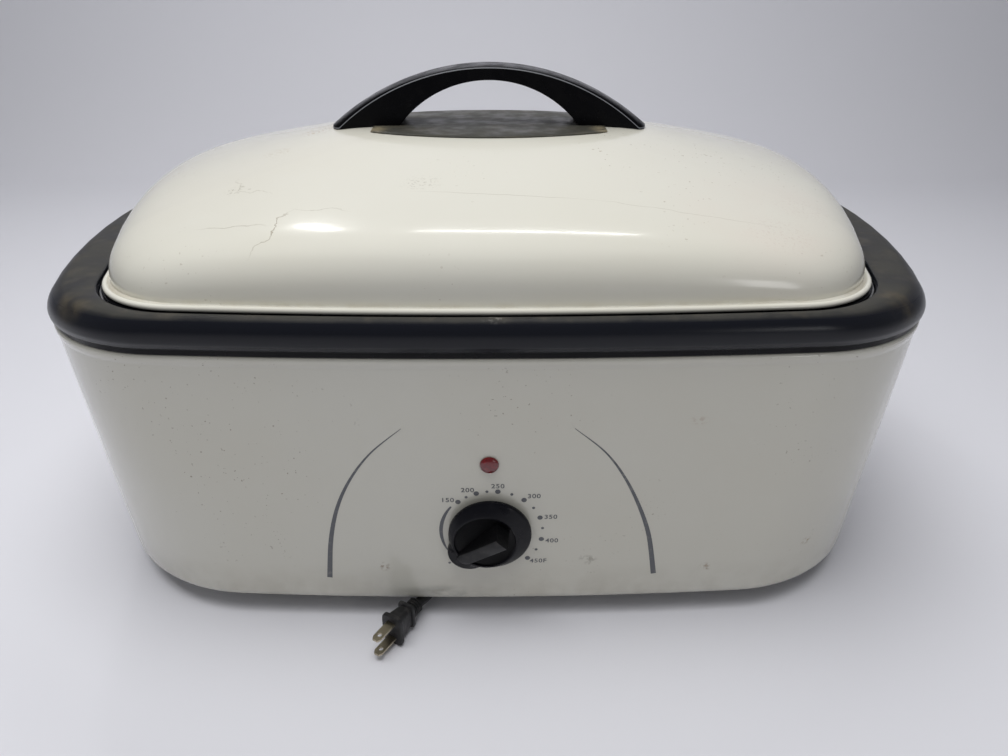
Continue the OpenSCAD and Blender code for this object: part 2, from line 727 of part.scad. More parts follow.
module cookwell() {
    t = pan_t;
    low_z = pan_floor_z + 12;
    color("#17181a") loft([
        ring(draw_in(pan_at(low_z), 14, 14), pan_floor_z),
        ring(draw_in(pan_at(low_z), 4, 4), pan_floor_z + 4),
        ring(pan_at(low_z), low_z),
        ring(pan_at(pan_rest_z - 5), pan_rest_z - 5),
        ring(draw_in(pan_at(pan_rest_z), -1.2, -1.2), pan_rest_z - 1),
        ring(draw_in(pan_at(pan_rest_z), -3, -3), pan_rest_z),
        ring(flange_o, pan_rest_z),
        ring(flange_o, pan_rim_z),
        ring(draw_in(pan_at(pan_rest_z), -3 + t / 2, -3 + t / 2), pan_rim_z),
        ring(draw_in(pan_at(pan_rest_z), t - 1.2, t - 1.2), pan_rest_z),
        ring(draw_in(pan_at(pan_rest_z - 5), t, t), pan_rest_z - 5),
        ring(draw_in(pan_at(low_z), t, t), low_z),
        ring(draw_in(pan_at(low_z), 4 + t / 2, 4 + t / 2), pan_floor_z + 4 + t / 2),
        ring(draw_in(pan_at(low_z), 14, 14), pan_floor_z + t)]);
}

rack_z = pan_floor_z + pan_t + rack_lift_h;
rack_half_x = pan_at(pan_floor_z + 12)[0] - 22;
rack_half_y = pan_at(pan_floor_z + 12)[1] - 26;
rack_corner = 42;

module rod(from, to, r) {
    v = to - from;
    translate(from) rotate([0, acos(v[2] / norm(v)), atan2(v[1], v[0])]) cylinder(h = norm(v), r = r, $fn = 24);
}

module quarter_ring(big_r, r, from) {
    rotate([0, 0, from]) rotate_extrude(angle = 90, $fn = 48) translate([big_r, 0]) circle(r = r, $fn = 24);
}

module rack() {
    r = frame_wire_r;
    ax = rack_half_x - rack_corner;
    ay = rack_half_y - rack_corner;
    foot_l = rack_lift_h - rest_gap;
    color("#c8ccd0") translate([0, 0, rack_z]) union() {
        for (s = [-1, 1]) {
            rod([-ax, s * rack_half_y, 0], [ax, s * rack_half_y, 0], r);
            rod([s * rack_half_x, -ay, 0], [s * rack_half_x, ay, 0], r);
        }
        for (q = [0:3]) let (sx = [1, -1, -1, 1][q], sy = [1, 1, -1, -1][q])
            translate([sx * ax, sy * ay, 0]) quarter_ring(rack_corner, r, 90 * q);
        for (i = [0:bar_count - 1]) let (x = ax * 0.96 * (2 * i / (bar_count - 1) - 1))
            rod([x, -rack_half_y, r + bar_r - 1], [x, rack_half_y, r + bar_r - 1], bar_r);
        for (sx = [-1, 1], sy = [-1, 1])
            rod([sx * ax, sy * (rack_half_y - 0.4), 0], [sx * ax, sy * (rack_half_y - 0.4), -foot_l], r);
    }
}

loop_half = 48;
loop_bend = 16;
weld_gap = 0.02;

// Upright loops welded inside the rack's ends
module rack_handles() {
    color("#c8ccd0") translate([0, 0, rack_z]) for (sx = [-1, 1])
        translate([sx * (rack_half_x - 2 * frame_wire_r - weld_gap), 0, 0]) union() rack_loop();
}

module rack_loop() {
    r = frame_wire_r;
    b = loop_bend;
    w = loop_half;
    for (sy = [-1, 1]) rod([0, sy * w, -r], [0, sy * w, rack_handle_h - b], r);
    rod([0, b - w, rack_handle_h], [0, w - b, rack_handle_h], r);
    translate([0, w - b, rack_handle_h - b]) rotate([90, 0, 90]) quarter_ring(b, r, 0);
    translate([0, b - w, rack_handle_h - b]) rotate([90, 0, 90]) quarter_ring(b, r, 90);
}

// ---------- lid ----------

function shoulder(s) = pow(max(1 - pow(s, shoulder_power), 0), 1 / 2.2);

// Fall of the crown at a point, as a smooth hip
function crown(x, y) =
    1 + crown_round - sqrt(crown_round * crown_round
        + crown_fall_x * pow(abs(x) / dome_o[0], 2.45) + crown_fall_y * pow(y / dome_o[1], 2));

// Height of the lid's outer face over a point of the outline scaled by s
function dome_height(x, y, s) = dome_z + shoulder_h * shoulder(s) + crown_h * crown(x, y);

function dome_top(x, y) = dome_z + shoulder_h + crown_h * crown(x, y);

dome_n = 14;

function dome_ring(s, inset) =
    [for (p = outline(draw_in(dome_o, inset, inset)))
        [p[0] * s, p[1] * s, dome_height(p[0] * s, p[1] * s, s) - inset]];

module lid() {
    steps = [for (i = [0:dome_n - 1]) 1 - pow(i / dome_n, 1.9)];
    up = [for (s = steps) dome_ring(s, 0)];
    down = [for (i = [dome_n - 1:-1:0]) dome_ring(steps[i], lid_t)];
    color("ivory") difference() {
        loft(concat(down,
            [ring(draw_in(dome_o, lid_t, lid_t), bead_z + 0.4),
                ring(draw_in(bead_o, gutter_x + 0.9, gutter_y + 0.3), bead_z - 0.4)],
            bead_rings(),
            [ring(draw_in(bead_o, gutter_x - 0.3, gutter_y - 0.9), bead_z + 1),
                ring(dome_o, bead_z + 1.6)], up));
        for (sx = [-1, 1]) translate([sx * handle_screw_x, 0, apex_z - 40])
            cylinder(h = 60, r = handle_screw_r + pass_gap, $fn = 32);
    }
}

// Rings round the rolled bead, from its inner side, under it and over its outside to its top
function bead_rings() =
    [for (a = [200:40:480]) let (inset = bead_r * (1 - cos(a)))
        ring(draw_in(bead_o, inset, inset), bead_z + bead_r * sin(a))];

module handle_plate() {
    n = 40;
    steps = [for (i = [1:5]) i / 5];
    top = [for (i = [4:-1:0]) plate_ring(steps[i], plate_lift + plate_t, n)];
    under = [for (s = steps) plate_ring(s, plate_lift, n)];
    color("#55524e") difference() {
        loft(concat(under, top));
        for (sx = [-1, 1]) translate([sx * handle_screw_x, 0, apex_z - 40])
            cylinder(h = 60, r = handle_screw_r + pass_gap, $fn = 32);
    }
}

function plate_ring(s, lift, n) =
    [for (j = [0:n - 1]) let (a = 360 * j / n, x = plate_half_x * s * cos(a), y = plate_half_y * s * sin(a))
        [x, y, dome_top(x, y) + lift]];

// Half depth of the handle at x: straight, then rounded off at its ends
function handle_w(x) =
    let (e = 22, u = max(abs(x) - (handle_half - e), 0) / e)
    handle_half_w * sqrt(max(1 - u * u * 0.98, 0));

function arch(x, r, top) = top - r + sqrt(r * r - x * x);

// Section of the handle at x, in a plane across it
function handle_section(x) =
    let (w = handle_w(x), z_top = arch(x, arch_r, handle_top_z))
    let (z_edge = arch(x, arch_r - 27, handle_top_z - 1))
    let (low = abs(x) < grip_arch_r - 1 ? arch(x, grip_arch_r, handle_top_z - grip_t) : 0)
    let (lift = abs(x) < plate_half_x + 7 ? foot_lift : foot_lift_out)
    let (b0 = max(low, dome_top(x, 0) + lift), bw = max(low, dome_top(x, w) + lift))
    let (e = max(z_edge, b0 + 1.5), t = max(z_top, e + 0.8))
    [[x, 0, b0], [x, -w, bw], [x, -w, e], [x, -w * 0.8, e + (t - e) * 0.62],
        [x, -w * 0.42, e + (t - e) * 0.93], [x, 0, t], [x, w * 0.42, e + (t - e) * 0.93],
        [x, w * 0.8, e + (t - e) * 0.62], [x, w, e], [x, w, bw]];

module lid_handle() {
    n = 20;
    stations = [for (i = [-n:n]) handle_half * sin(90 * i / n * 0.98) / sin(90 * 0.98)];
    color("#141414") difference() {
        loft([for (x = stations) handle_section(x)]);
        for (sx = [-1, 1]) translate([sx * handle_screw_x, 0, dome_top(handle_screw_x, 0) - 1])
            cylinder(h = 13, r = handle_screw_r, $fn = 32);
    }
}

module handle_screws() {
    z = dome_top(handle_screw_x, 0) - lid_t;
    color("silver") for (sx = [-1, 1]) translate([sx * handle_screw_x, 0, z]) {
        translate([0, 0, -6]) cylinder(h = 2.6, r = 2 * handle_screw_r, $fn = 32);
        translate([0, 0, -4]) cylinder(h = 14, r = handle_screw_r - 0.1, $fn = 32);
    }
}

module handle_washers() {
    z = dome_top(handle_screw_x, 0) - lid_t;
    color("silver") for (sx = [-1, 1]) translate([sx * handle_screw_x, 0, z - 3.2]) difference() {
        cylinder(h = 1.4, r = 3.2 * handle_screw_r, $fn = 48);
        translate([0, 0, -1]) cylinder(h = 4, r = handle_screw_r + 0.3, $fn = 32);
    }
}

placed() outer_body();
placed() rim();
placed() base_plate();
placed() foot(-1, -1);  // foot_front_left
placed() foot(1, -1);  // foot_front_right
placed() foot(-1, 1);  // foot_back_left
placed() foot(1, 1);  // foot_back_right
placed() foot_screws();
placed() inner_liner();
placed() heater_band();
placed() heater_clamp();
placed() insulation();
placed() heat_shield();
placed() tie_bolt();
placed() tie_nut();
placed() thermostat();
placed() thermostat_bracket();
placed() bracket_screws();
placed() indicator_lens();
placed() lens_clip();
placed() indicator_lamp();
placed() terminal_block();
placed() lead_wires();
placed() cord_relief();
placed() cord();
placed() plug_body();
placed() plug_blades();
placed() knob();
placed() knob_stem();
placed() knob_clip();
placed() cookwell();
placed() rack();
placed() rack_handles();
placed() lid();
placed() handle_plate();
placed() lid_handle();
placed() handle_screws();
placed() handle_washers();
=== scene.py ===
from math import atan, atan2, copysign, cos, hypot, pi, radians, sin, sqrt

import bmesh
import bpy
from mathutils import Matrix, Vector


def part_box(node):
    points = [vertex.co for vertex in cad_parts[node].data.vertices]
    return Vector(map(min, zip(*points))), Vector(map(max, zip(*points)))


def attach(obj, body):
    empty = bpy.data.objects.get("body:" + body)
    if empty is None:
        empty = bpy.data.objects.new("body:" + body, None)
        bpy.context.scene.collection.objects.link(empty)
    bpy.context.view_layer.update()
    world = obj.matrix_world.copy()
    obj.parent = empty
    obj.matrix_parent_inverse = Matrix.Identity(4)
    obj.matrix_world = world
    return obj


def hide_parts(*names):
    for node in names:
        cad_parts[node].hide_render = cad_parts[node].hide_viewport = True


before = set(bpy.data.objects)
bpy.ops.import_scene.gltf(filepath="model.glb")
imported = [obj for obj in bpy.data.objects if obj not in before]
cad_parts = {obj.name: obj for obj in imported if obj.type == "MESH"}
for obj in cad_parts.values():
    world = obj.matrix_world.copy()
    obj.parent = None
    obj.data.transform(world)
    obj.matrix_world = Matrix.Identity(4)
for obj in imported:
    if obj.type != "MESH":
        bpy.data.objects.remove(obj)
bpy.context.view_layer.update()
mm = 0.001

bodyLow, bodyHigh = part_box("outer_body")
shiftY = (bodyLow.y + bodyHigh.y) / 2 / mm      # the body stands back of the origin by this much
topZ = bodyHigh.z / mm      # the body's lip
footZ = bodyLow.z / mm
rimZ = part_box("rim")[1].z / mm
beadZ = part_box("lid")[0].z / mm + 2      # middle of the lid's rolled edge
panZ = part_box("cookwell")[1].z / mm      # top of the cookwell's flange
print("frame loaded, body shifted", round(shiftY, 2), "mm")


# camera, at the photograph's place

cameraSet = {"place": (4.8, -596.2, 195.6), "down": 28.38, "yaw": 0.62, "roll": 0.07, "lens": 27.07}


def addToScene(name, data):
    obj = bpy.data.objects.new(name, data)
    bpy.context.collection.objects.link(obj)
    return obj


def makeCamera():
    data = bpy.data.cameras.new("camera")
    data.lens = cameraSet["lens"]
    data.sensor_width = 36
    data.clip_start = 0.01
    camera = addToScene("camera", data)
    down, yaw, roll = [radians(cameraSet[k]) for k in ("down", "yaw", "roll")]
    turn = Matrix.Rotation(-yaw, 4, "Z") @ Matrix.Rotation(pi / 2 - down, 4, "X")
    turn = turn @ Matrix.Rotation(roll, 4, "Z")
    x, y, z = cameraSet["place"]
    camera.matrix_world = Matrix.Translation(Vector((x, y + shiftY, z + topZ)) * mm) @ turn
    bpy.context.scene.camera = camera


makeCamera()
print("camera set")


# plan outlines: half x, half y, corner radius, radius of the bowed ends, radius of the bowed sides

rimPlan = (305, 216, 101, 462, 2870)
beadPlan = (260, 203, 64, 575, 2270)
fineSteps = (5, 18, 10)     # points of half an end, one corner, half a side


def drawIn(plan, dx, dy):
    return (plan[0] - dx, plan[1] - dy, plan[2] - (dx + dy) / 2, plan[3] - dx, plan[4] - dy)


def withCorner(plan, radius):
    return (plan[0], plan[1], radius, plan[3], plan[4])


def arcPoints(centre, radius, start, end, steps):
    angles = [start + (end - start) * i / steps for i in range(steps)]
    return [(centre[0] + radius * cos(a), centre[1] + radius * sin(a)) for a in angles]


def quarterOutline(plan):      # from the end's middle to the side's middle, by way of the corner's arc
    halfX, halfY, corner, endBow, sideBow = plan
    side = Vector((0, halfY - sideBow))
    end = Vector((halfX - endBow, 0))
    fromSide, fromEnd = sideBow - corner, endBow - corner
    gap = end - side
    far = gap.length
    along = (fromSide * fromSide - fromEnd * fromEnd + far * far) / (2 * far)
    off = sqrt(fromSide * fromSide - along * along)
    u = gap / far
    flip = 1 if -u.y - u.x > 0 else -1
    c = side + along * u + off * flip * Vector((-u.y, u.x))
    ta = atan2(c.y, c.x - end.x)
    tb = atan2(c.y - side.y, c.x)
    points = arcPoints(end, endBow, 0, ta, fineSteps[0])
    points += arcPoints(c, corner, ta, tb, fineSteps[1])
    points += arcPoints(side, sideBow, tb, pi / 2, fineSteps[2])
    return points + [(0, halfY)]


def outline(plan):
    q = quarterOutline(plan)
    n = len(q) - 1
    points = q[:n] + [(-x, y) for x, y in q[n:0:-1]]
    return points + [(-x, -y) for x, y in q[:n]] + [(x, -y) for x, y in q[n:0:-1]]


def ring(plan, z):
    return [(x, y, z) for x, y in outline(plan)]


def insetRing(plan, inset, z):
    return ring(drawIn(plan, inset, inset), z)


def turned(turn, points):
    return [tuple(turn @ Vector(p)) for p in points]


# meshes from stacks of rings, in millimetres about the body's middle

def markSharp(obj, angle):
    work = bmesh.new()
    work.from_mesh(obj.data)
    bmesh.ops.recalc_face_normals(work, faces=work.faces)
    for face in work.faces:
        face.smooth = True
    for edge in work.edges:
        edge.smooth = len(edge.link_faces) != 2 or edge.calc_face_angle() < radians(angle)
    work.to_mesh(obj.data)
    work.free()


def newObject(name, points, faces, material):
    mesh = bpy.data.meshes.new(name)
    mesh.from_pydata(points, [], faces)
    mesh.materials.append(material)
    return addToScene(name, mesh)


def inScene(points):
    return [(x * mm, (y + shiftY) * mm, z * mm) for x, y, z in points]


def newPiece(name, points, faces, material, angle=40):
    obj = newObject(name, inScene(points), faces, material)
    obj.data.validate()
    markSharp(obj, angle)
    return obj


def ringFaces(count, around, closed):
    faces = []
    for i in range(count if closed else count - 1):
        a, b = i * around, (i + 1) % count * around
        for j in range(around):
            k = (j + 1) % around
            faces.append((a + j, a + k, b + k, b + j))
    return faces


def loft(name, rings, material, closed=False, angle=40):
    around = len(rings[0])
    points = [p for r in rings for p in r]
    faces = ringFaces(len(rings), around, closed)
    if not closed:
        for r, start in ((rings[0], 0), (rings[-1], (len(rings) - 1) * around)):
            points.append(tuple(sum(p[k] for p in r) / around for k in range(3)))
            middle = len(points) - 1
            faces += [(start + j, start + (j + 1) % around, middle) for j in range(around)]
    return newPiece(name, points, faces, material, angle)


def paintRows(obj, around, rows, material, columns=None):
    obj.data.materials.append(material)
    for face in obj.data.polygons:
        row, column = divmod(face.index, around)
        if row in rows and (columns is None or column in columns):
            face.material_index = len(obj.data.materials) - 1


def finishPiece(obj, body, slot, *nodes):
    if nodes:
        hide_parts(*nodes)
    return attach(obj, body)


# material helpers

def setInputs(node, values):
    for key, value in values.items():
        node.inputs[key].default_value = value


def shaderOf(material):
    return material.node_tree.nodes["Principled BSDF"]


def newMaterial(name, colour, roughness, metallic=0.0, coat=0.0, specular=0.5):
    material = bpy.data.materials.new(name)
    material.use_nodes = True
    setInputs(shaderOf(material), {
        "Base Color": (*colour, 1), "Roughness": roughness, "Metallic": metallic, "Coat Weight": coat,
        "Coat Roughness": 0.08, "Specular IOR Level": specular})
    return material


def addNode(material, kind, inputs=None, **values):
    node = material.node_tree.nodes.new(kind)
    for key, value in values.items():
        setattr(node, key, value)
    setInputs(node, inputs or {})
    return node


def join(material, source, target):
    material.node_tree.links.new(source, target)


def placed(material, scale=(1, 1, 1), at=(0, 0, 0)):
    mapping = addNode(material, "ShaderNodeMapping", {"Scale": scale, "Location": at})
    join(material, addNode(material, "ShaderNodeTexCoord").outputs["Object"], mapping.inputs["Vector"])
    return mapping.outputs["Vector"]


def ramp(material, value, low, high, smooth=False):      # 0 at the first value, 1 at the second
    node = addNode(material, "ShaderNodeMapRange", {"From Min": low, "From Max": high},
                   interpolation_type="SMOOTHSTEP" if smooth else "LINEAR")
    join(material, value, node.inputs["Value"])
    return node.outputs["Result"]


def upward(material, vector):
    parts = addNode(material, "ShaderNodeSeparateXYZ")
    join(material, vector, parts.inputs[0])
    return parts.outputs["Z"]


def heightRamp(material, low, high):
    return ramp(material, upward(material, placed(material)), low * mm, high * mm)


def noise(material, scale, detail, stretch=(1, 1, 1), at=(0, 0, 0)):
    texture = addNode(material, "ShaderNodeTexNoise", {"Scale": scale, "Detail": detail})
    join(material, placed(material, stretch, at), texture.inputs["Vector"])
    return texture


def noiseMask(material, scale, low, high, detail=4.0, stretch=(1, 1, 1), at=(0, 0, 0), rough=0.55):
    texture = noise(material, scale, detail, stretch, at)
    texture.inputs["Roughness"].default_value = rough
    return ramp(material, texture.outputs["Fac"], low, high, smooth=True)


def spotMask(material, place, radius, squeeze=(1, 1, 1)):      # 1 in the middle of a round spot, 0 outside
    distance = addNode(material, "ShaderNodeVectorMath", operation="DISTANCE")
    distance.inputs[1].default_value = Vector(inScene([place])[0]) * Vector(squeeze)
    join(material, placed(material, squeeze), distance.inputs[0])
    return ramp(material, distance.outputs["Value"], radius * mm, radius * mm * 0.25, smooth=True)


def mathNode(material, operation, first, second=0.0, clamp=False):
    node = addNode(material, "ShaderNodeMath", operation=operation, use_clamp=clamp)
    for socket, value in zip(node.inputs, (first, second)):
        if isinstance(value, (int, float)):
            socket.default_value = value
        else:
            join(material, value, socket)
    return node.outputs[0]


def combine(material, first, second):
    return mathNode(material, "MULTIPLY", first, second, clamp=True)


def lineMask(material, start, end, wander, width):      # a thin crooked line on the lid, between two points
    a, b = [Vector(p) for p in inScene([start, end])]
    middle = (a + b) / 2
    outward = middle - Vector((0, shiftY * mm, (topZ - 60) * mm))
    across = (b - a).cross(outward).normalized()
    side = addNode(material, "ShaderNodeVectorMath", operation="DOT_PRODUCT")
    side.inputs[1].default_value = across
    join(material, placed(material), side.inputs[0])
    bend = mathNode(material, "MULTIPLY", noise(material, 55, 5, at=middle).outputs["Fac"], wander * mm)
    off = mathNode(material, "ADD", side.outputs["Value"], bend)
    off = mathNode(material, "SUBTRACT", off, middle.dot(across) + wander / 2 * mm)
    thin = ramp(material, mathNode(material, "ABSOLUTE", off), width * mm, width * 0.3 * mm)
    reach = spotMask(material, [(p + q) / 2 for p, q in zip(start, end)], (b - a).length / mm * 0.62)
    return combine(material, thin, reach)


def paintOver(material, mask, colour, strength=1.0):
    socket = shaderOf(material).inputs["Base Color"]
    mix = addNode(material, "ShaderNodeMix", data_type="RGBA")
    if socket.is_linked:
        join(material, socket.links[0].from_socket, mix.inputs["A"])
    else:
        mix.inputs["A"].default_value = socket.default_value
    mix.inputs["B"].default_value = (*colour, 1)
    join(material, combine(material, mask, strength), mix.inputs["Factor"])
    join(material, mix.outputs["Result"], socket)


def varyRoughness(material, mask, low, high):
    scaled = addNode(material, "ShaderNodeMapRange", {"To Min": low, "To Max": high})
    join(material, mask, scaled.inputs["Value"])
    join(material, scaled.outputs["Result"], shaderOf(material).inputs["Roughness"])


def stain(material, where, grain, colour, strength, **more):      # patches only where the mask is white
    mask = combine(material, where, noiseMask(material, *grain, **more))
    paintOver(material, mask, colour, strength)


def addMarks(material, marks, grain):
    for place, radius, squeeze, colour, strength in marks:
        stain(material, spotMask(material, place, radius, squeeze), grain, colour, strength)


def addBump(material, height, strength, distance):
    normal = shaderOf(material).inputs["Normal"]
    bump = addNode(material, "ShaderNodeBump", {"Strength": strength, "Distance": distance * mm})
    join(material, height, bump.inputs["Height"])
    if normal.is_linked:
        join(material, normal.links[0].from_socket, bump.inputs["Normal"])
    join(material, bump.outputs["Normal"], normal)


def patches(material, grain, colour, strength, **more):
    paintOver(material, noiseMask(material, *grain, **more), colour, strength)


def roughen(material, grain, strength, distance):
    addBump(material, noiseMask(material, *grain), strength, distance)


# finishes

enamelSet = {"colour": (0.67, 0.655, 0.58), "warm": (0.60, 0.56, 0.44), "roughness": 0.22, "coat": 0.5}
bodyMarks = [      # place, radius, squeeze, colour, strength: beside and below the dial, and at the right
    ((65, -208, 52), 8, (1, 1, 1.6), (0.2, 0.17, 0.13), 0.5),
    ((-71, -208, 47), 5, (1, 1, 1), (0.26, 0.19, 0.13), 0.8),
    ((146, -205, 42), 5, (1, 1, 1), (0.30, 0.22, 0.15), 0.7),
    ((217, -194, 55), 6, (1, 1, 1.5), (0.34, 0.25, 0.16), 0.7),
    ((127, -208, 161), 8, (1, 1, 2), (0.4, 0.3, 0.22), 0.4)]
lidMarks = [
    ((-127, -6, 293), 20, (1, 1, 1), (0.33, 0.19, 0.08), 0.75),      # rust by the handle's foot
    ((-125, 10, 293), 16, (1, 1, 1), (0.36, 0.23, 0.11), 0.6),
    ((-162, -112, 275), 8, (1, 1, 1), (0.30, 0.26, 0.2), 0.7),
    ((174, -162, 263), 24, (0.8, 1, 1), (0.42, 0.3, 0.24), 0.2),
    ((200, -126, 267), 20, (0.7, 1, 1), (0.42, 0.3, 0.24), 0.2),
    ((-148, -52, 287), 13, (1, 1, 1), (0.42, 0.31, 0.18), 0.5),
    ((-42, -122, 283), 12, (0.7, 1, 1), (0.3, 0.26, 0.2), 0.35)]
lidLines = [      # start, end, wander, width, strength: stains on the left, a long scratch on the right
    ((-118, -146, 273), (-135, -184, 257), 26, 0.55, 0.75),
    ((-130, -160, 267), (-172, -157, 264), 9, 0.5, 0.5),
    ((-165, -92, 278), (-140, -128, 277), 30, 0.5, 0.45),
    ((-118, -146, 273), (-82, -152, 275), 12, 0.4, 0.35),
    ((-44, -132, 280), (62, -141, 277), 3, 0.3, 0.45),
    ((60, -140, 277), (176, -158, 264), 5, 0.3, 0.4)]


# tone scales the enamel's colours: 0.9 on the body is painted shade, 1.08 on the bead painted highlight
def enamelBase(name, tone=1.0):
    colour, warm = [tuple(c * tone for c in enamelSet[key]) for key in ("colour", "warm")]
    material = newMaterial(name, colour, enamelSet["roughness"], coat=enamelSet["coat"])
    patches(material, (5, 0.3, 0.8), warm, 0.3)
    varyRoughness(material, noiseMask(material, 14, 0.25, 0.8), 0.16, 0.26)
    roughen(material, (420, 0.3, 0.7, 2), 0.08, 0.04)
    roughen(material, (9, 0.1, 0.9, 0), 0.1, 0.8)
    return material


def bodyEnamel():
    # the body's walls get the enamel at 0.9 tone: painted shade
    material = enamelBase("bodyEnamel", 0.9)
    specks = noiseMask(material, 520, 0.74, 0.765, detail=1, rough=0.3)
    stain(material, specks, (9, 0.5, 0.66), (0.2, 0.16, 0.11), 0.6)
    low = heightRamp(material, footZ + 34, footZ + 4)
    stain(material, low, (38, 0.3, 0.72), (0.30, 0.26, 0.19), 0.38)
    addMarks(material, bodyMarks, (330, 0.46, 0.6))
    smudge = spotMask(material, (-32, -208, 23), 30, (0.7, 1, 3.4))
    stain(material, smudge, (90, 0.3, 0.66), (0.15, 0.145, 0.13), 0.5, stretch=(0.5, 1, 1))
    return material


def lidEnamel():
    material = enamelBase("lidEnamel")
    specks = noiseMask(material, 460, 0.74, 0.765, detail=1, rough=0.3)
    stain(material, specks, (8, 0.5, 0.66), (0.24, 0.17, 0.1), 0.6, at=(3, 1, 0))
    for start, end, wander, width, strength in lidLines:
        paintOver(material, lineMask(material, start, end, wander, width), (0.30, 0.26, 0.19), strength)
    addMarks(material, lidMarks, (620, 0.55, 0.63, 3))
    blush = spotMask(material, (176, -140, 265), 78)      # a faint pinkish cast on the right
    stain(material, blush, (18, 0.2, 0.8), (0.68, 0.56, 0.5), 0.3)
    gutter = heightRamp(material, beadZ + 4.5, beadZ + 1)
    stain(material, gutter, (60, 0.38, 0.66), (0.42, 0.35, 0.22), 0.22)
    for x in (-1, 1):      # more grime in the corners of the gutter
        corner = combine(material, gutter, spotMask(material, (x * 240, -176, beadZ), 34))
        paintOver(material, corner, (0.3, 0.24, 0.13), 0.5)
    return material


def rimPlastic():
    material = newMaterial("rimPlastic", (0.006, 0.0068, 0.0105), 0.33, specular=0.3)
    normal = addNode(material, "ShaderNodeNewGeometry").outputs["Normal"]
    # what faces up is painted lighter: partly dust, partly painted sheen
    up = ramp(material, upward(material, normal), 0.7, 0.99)
    dust = combine(material, up, noiseMask(material, 34, 0.12, 0.7))
    paintOver(material, dust, (0.056, 0.054, 0.047), 0.9)      # dusty, greasy film and painted sheen: lighter colour on what faces up
    # more lighter tan on what faces up: dust and painted sheen
    stain(material, up, (70, 0.5, 0.68, 6), (0.075, 0.066, 0.052), 0.5)
    for x in (-1, 1):      # tan film along the inner corners
        corner = spotMask(material, (x * 247, -183, rimZ), 20)
        stain(material, corner, (70, 0.3, 0.7), (0.1, 0.082, 0.05), 0.45)
    chip = spotMask(material, (4, -208, rimZ), 6, (0.6, 1, 1))
    stain(material, chip, (420, 0.5, 0.6), (0.26, 0.25, 0.23), 0.5)
    varyRoughness(material, dust, 0.27, 0.62)
    roughen(material, (650, 0.3, 0.7, 2), 0.16, 0.08)
    return material


def blackPlastic(name, colour, roughness, wear=0.2, specular=0.25):
    material = newMaterial(name, colour, roughness, specular=specular)
    dust = noiseMask(material, 130, 0.5, 0.72)
    paintOver(material, dust, (0.045, 0.043, 0.04), wear)
    varyRoughness(material, noiseMask(material, 70, 0.3, 0.7), roughness - 0.06, roughness + 0.16)
    roughen(material, (900, 0.3, 0.7, 2), 0.15, 0.05)
    return material


def plateMetal():
    material = newMaterial("plateMetal", (0.062, 0.061, 0.052), 0.42, metallic=0.25)
    patches(material, (42, 0.42, 0.66), (0.1, 0.09, 0.066), 0.5, stretch=(1, 2.4, 1))
    for place in ((-86, -28, 298), (86, -28, 298)):      # coating rubbed off at the ends
        stain(material, spotMask(material, place, 17), (160, 0.3, 0.55), (0.33, 0.28, 0.18), 0.75)
    varyRoughness(material, noiseMask(material, 60, 0.3, 0.7), 0.32, 0.58)
    roughen(material, (500, 0.3, 0.7), 0.12, 0.05)
    return material


def metal(name, colour, roughness, scratch=(1, 1, 30)):
    material = newMaterial(name, colour, roughness, metallic=1.0)
    lines = noiseMask(material, 60, 0.35, 0.7, stretch=scratch)
    varyRoughness(material, lines, roughness - 0.08, roughness + 0.12)
    patches(material, (40, 0.5, 0.75), tuple(c * 0.72 for c in colour), 0.6)
    addBump(material, lines, 0.08, 0.05)
    return material


def darkEnamel():
    material = newMaterial("darkEnamel", (0.012, 0.015, 0.024), 0.28, coat=0.25)
    specks = noiseMask(material, 420, 0.66, 0.7, detail=1, rough=0.3)
    paintOver(material, specks, (0.3, 0.32, 0.36), 0.6)
    patches(material, (22, 0.55, 0.75), (0.08, 0.055, 0.03), 0.4)
    roughen(material, (160, 0.3, 0.7, 2), 0.12, 0.15)
    return material


def redLensFinish():
    material = newMaterial("redLens", (0.13, 0.003, 0.005), 0.12, coat=0.8)
    setInputs(shaderOf(material), {"Subsurface Weight": 0.1, "Subsurface Radius": (0.004, 0.0006, 0.0004)})
    cells = addNode(material, "ShaderNodeTexVoronoi", {"Scale": 620})
    join(material, placed(material), cells.inputs["Vector"])
    addBump(material, cells.outputs["Distance"], 0.25, 0.25)
    patches(material, (300, 0.5, 0.7), (0.3, 0.01, 0.012), 0.5)
    return material


# name, colour, roughness, patches, their colour and strength, grain of the bump, its strength and height
plainFinishes = {
    "wool": ("mineralWool", (0.62, 0.55, 0.3), 0.95, (90, 0.4, 0.65), (0.42, 0.36, 0.18), 0.6,
             (300, 0.2, 0.8), 0.8, 1.2),
    "ceramic": ("ceramicFinish", (0.66, 0.62, 0.53), 0.7, (120, 0.45, 0.7), (0.5, 0.45, 0.36), 0.5,
                (500, 0.3, 0.7), 0.2, 0.1),
    "lamp": ("lampGlass", (0.85, 0.6, 0.45), 0.15, (200, 0.5, 0.7), (0.5, 0.3, 0.2), 0.5),
    "rubber": ("feetRubber", (0.018, 0.018, 0.018), 0.78, (150, 0.45, 0.7), (0.1, 0.095, 0.085), 0.5,
               (800, 0.3, 0.7), 0.3, 0.1),
    "cord": ("cordJacket", (0.013, 0.013, 0.014), 0.48, (210, 0.5, 0.72), (0.075, 0.07, 0.065), 0.4,
             (900, 0.3, 0.7), 0.2, 0.06),
    "ink": ("dialInk", (0.105, 0.108, 0.118), 0.42, (260, 0.52, 0.7), (0.24, 0.24, 0.23), 0.4),
}


def plainFinish(name, colour, roughness, spread, patchColour, strength, grain=None, bump=0, height=0):
    material = newMaterial(name, colour, roughness)
    patches(material, spread, patchColour, strength)
    if grain:
        roughen(material, grain, bump, height)
    return material


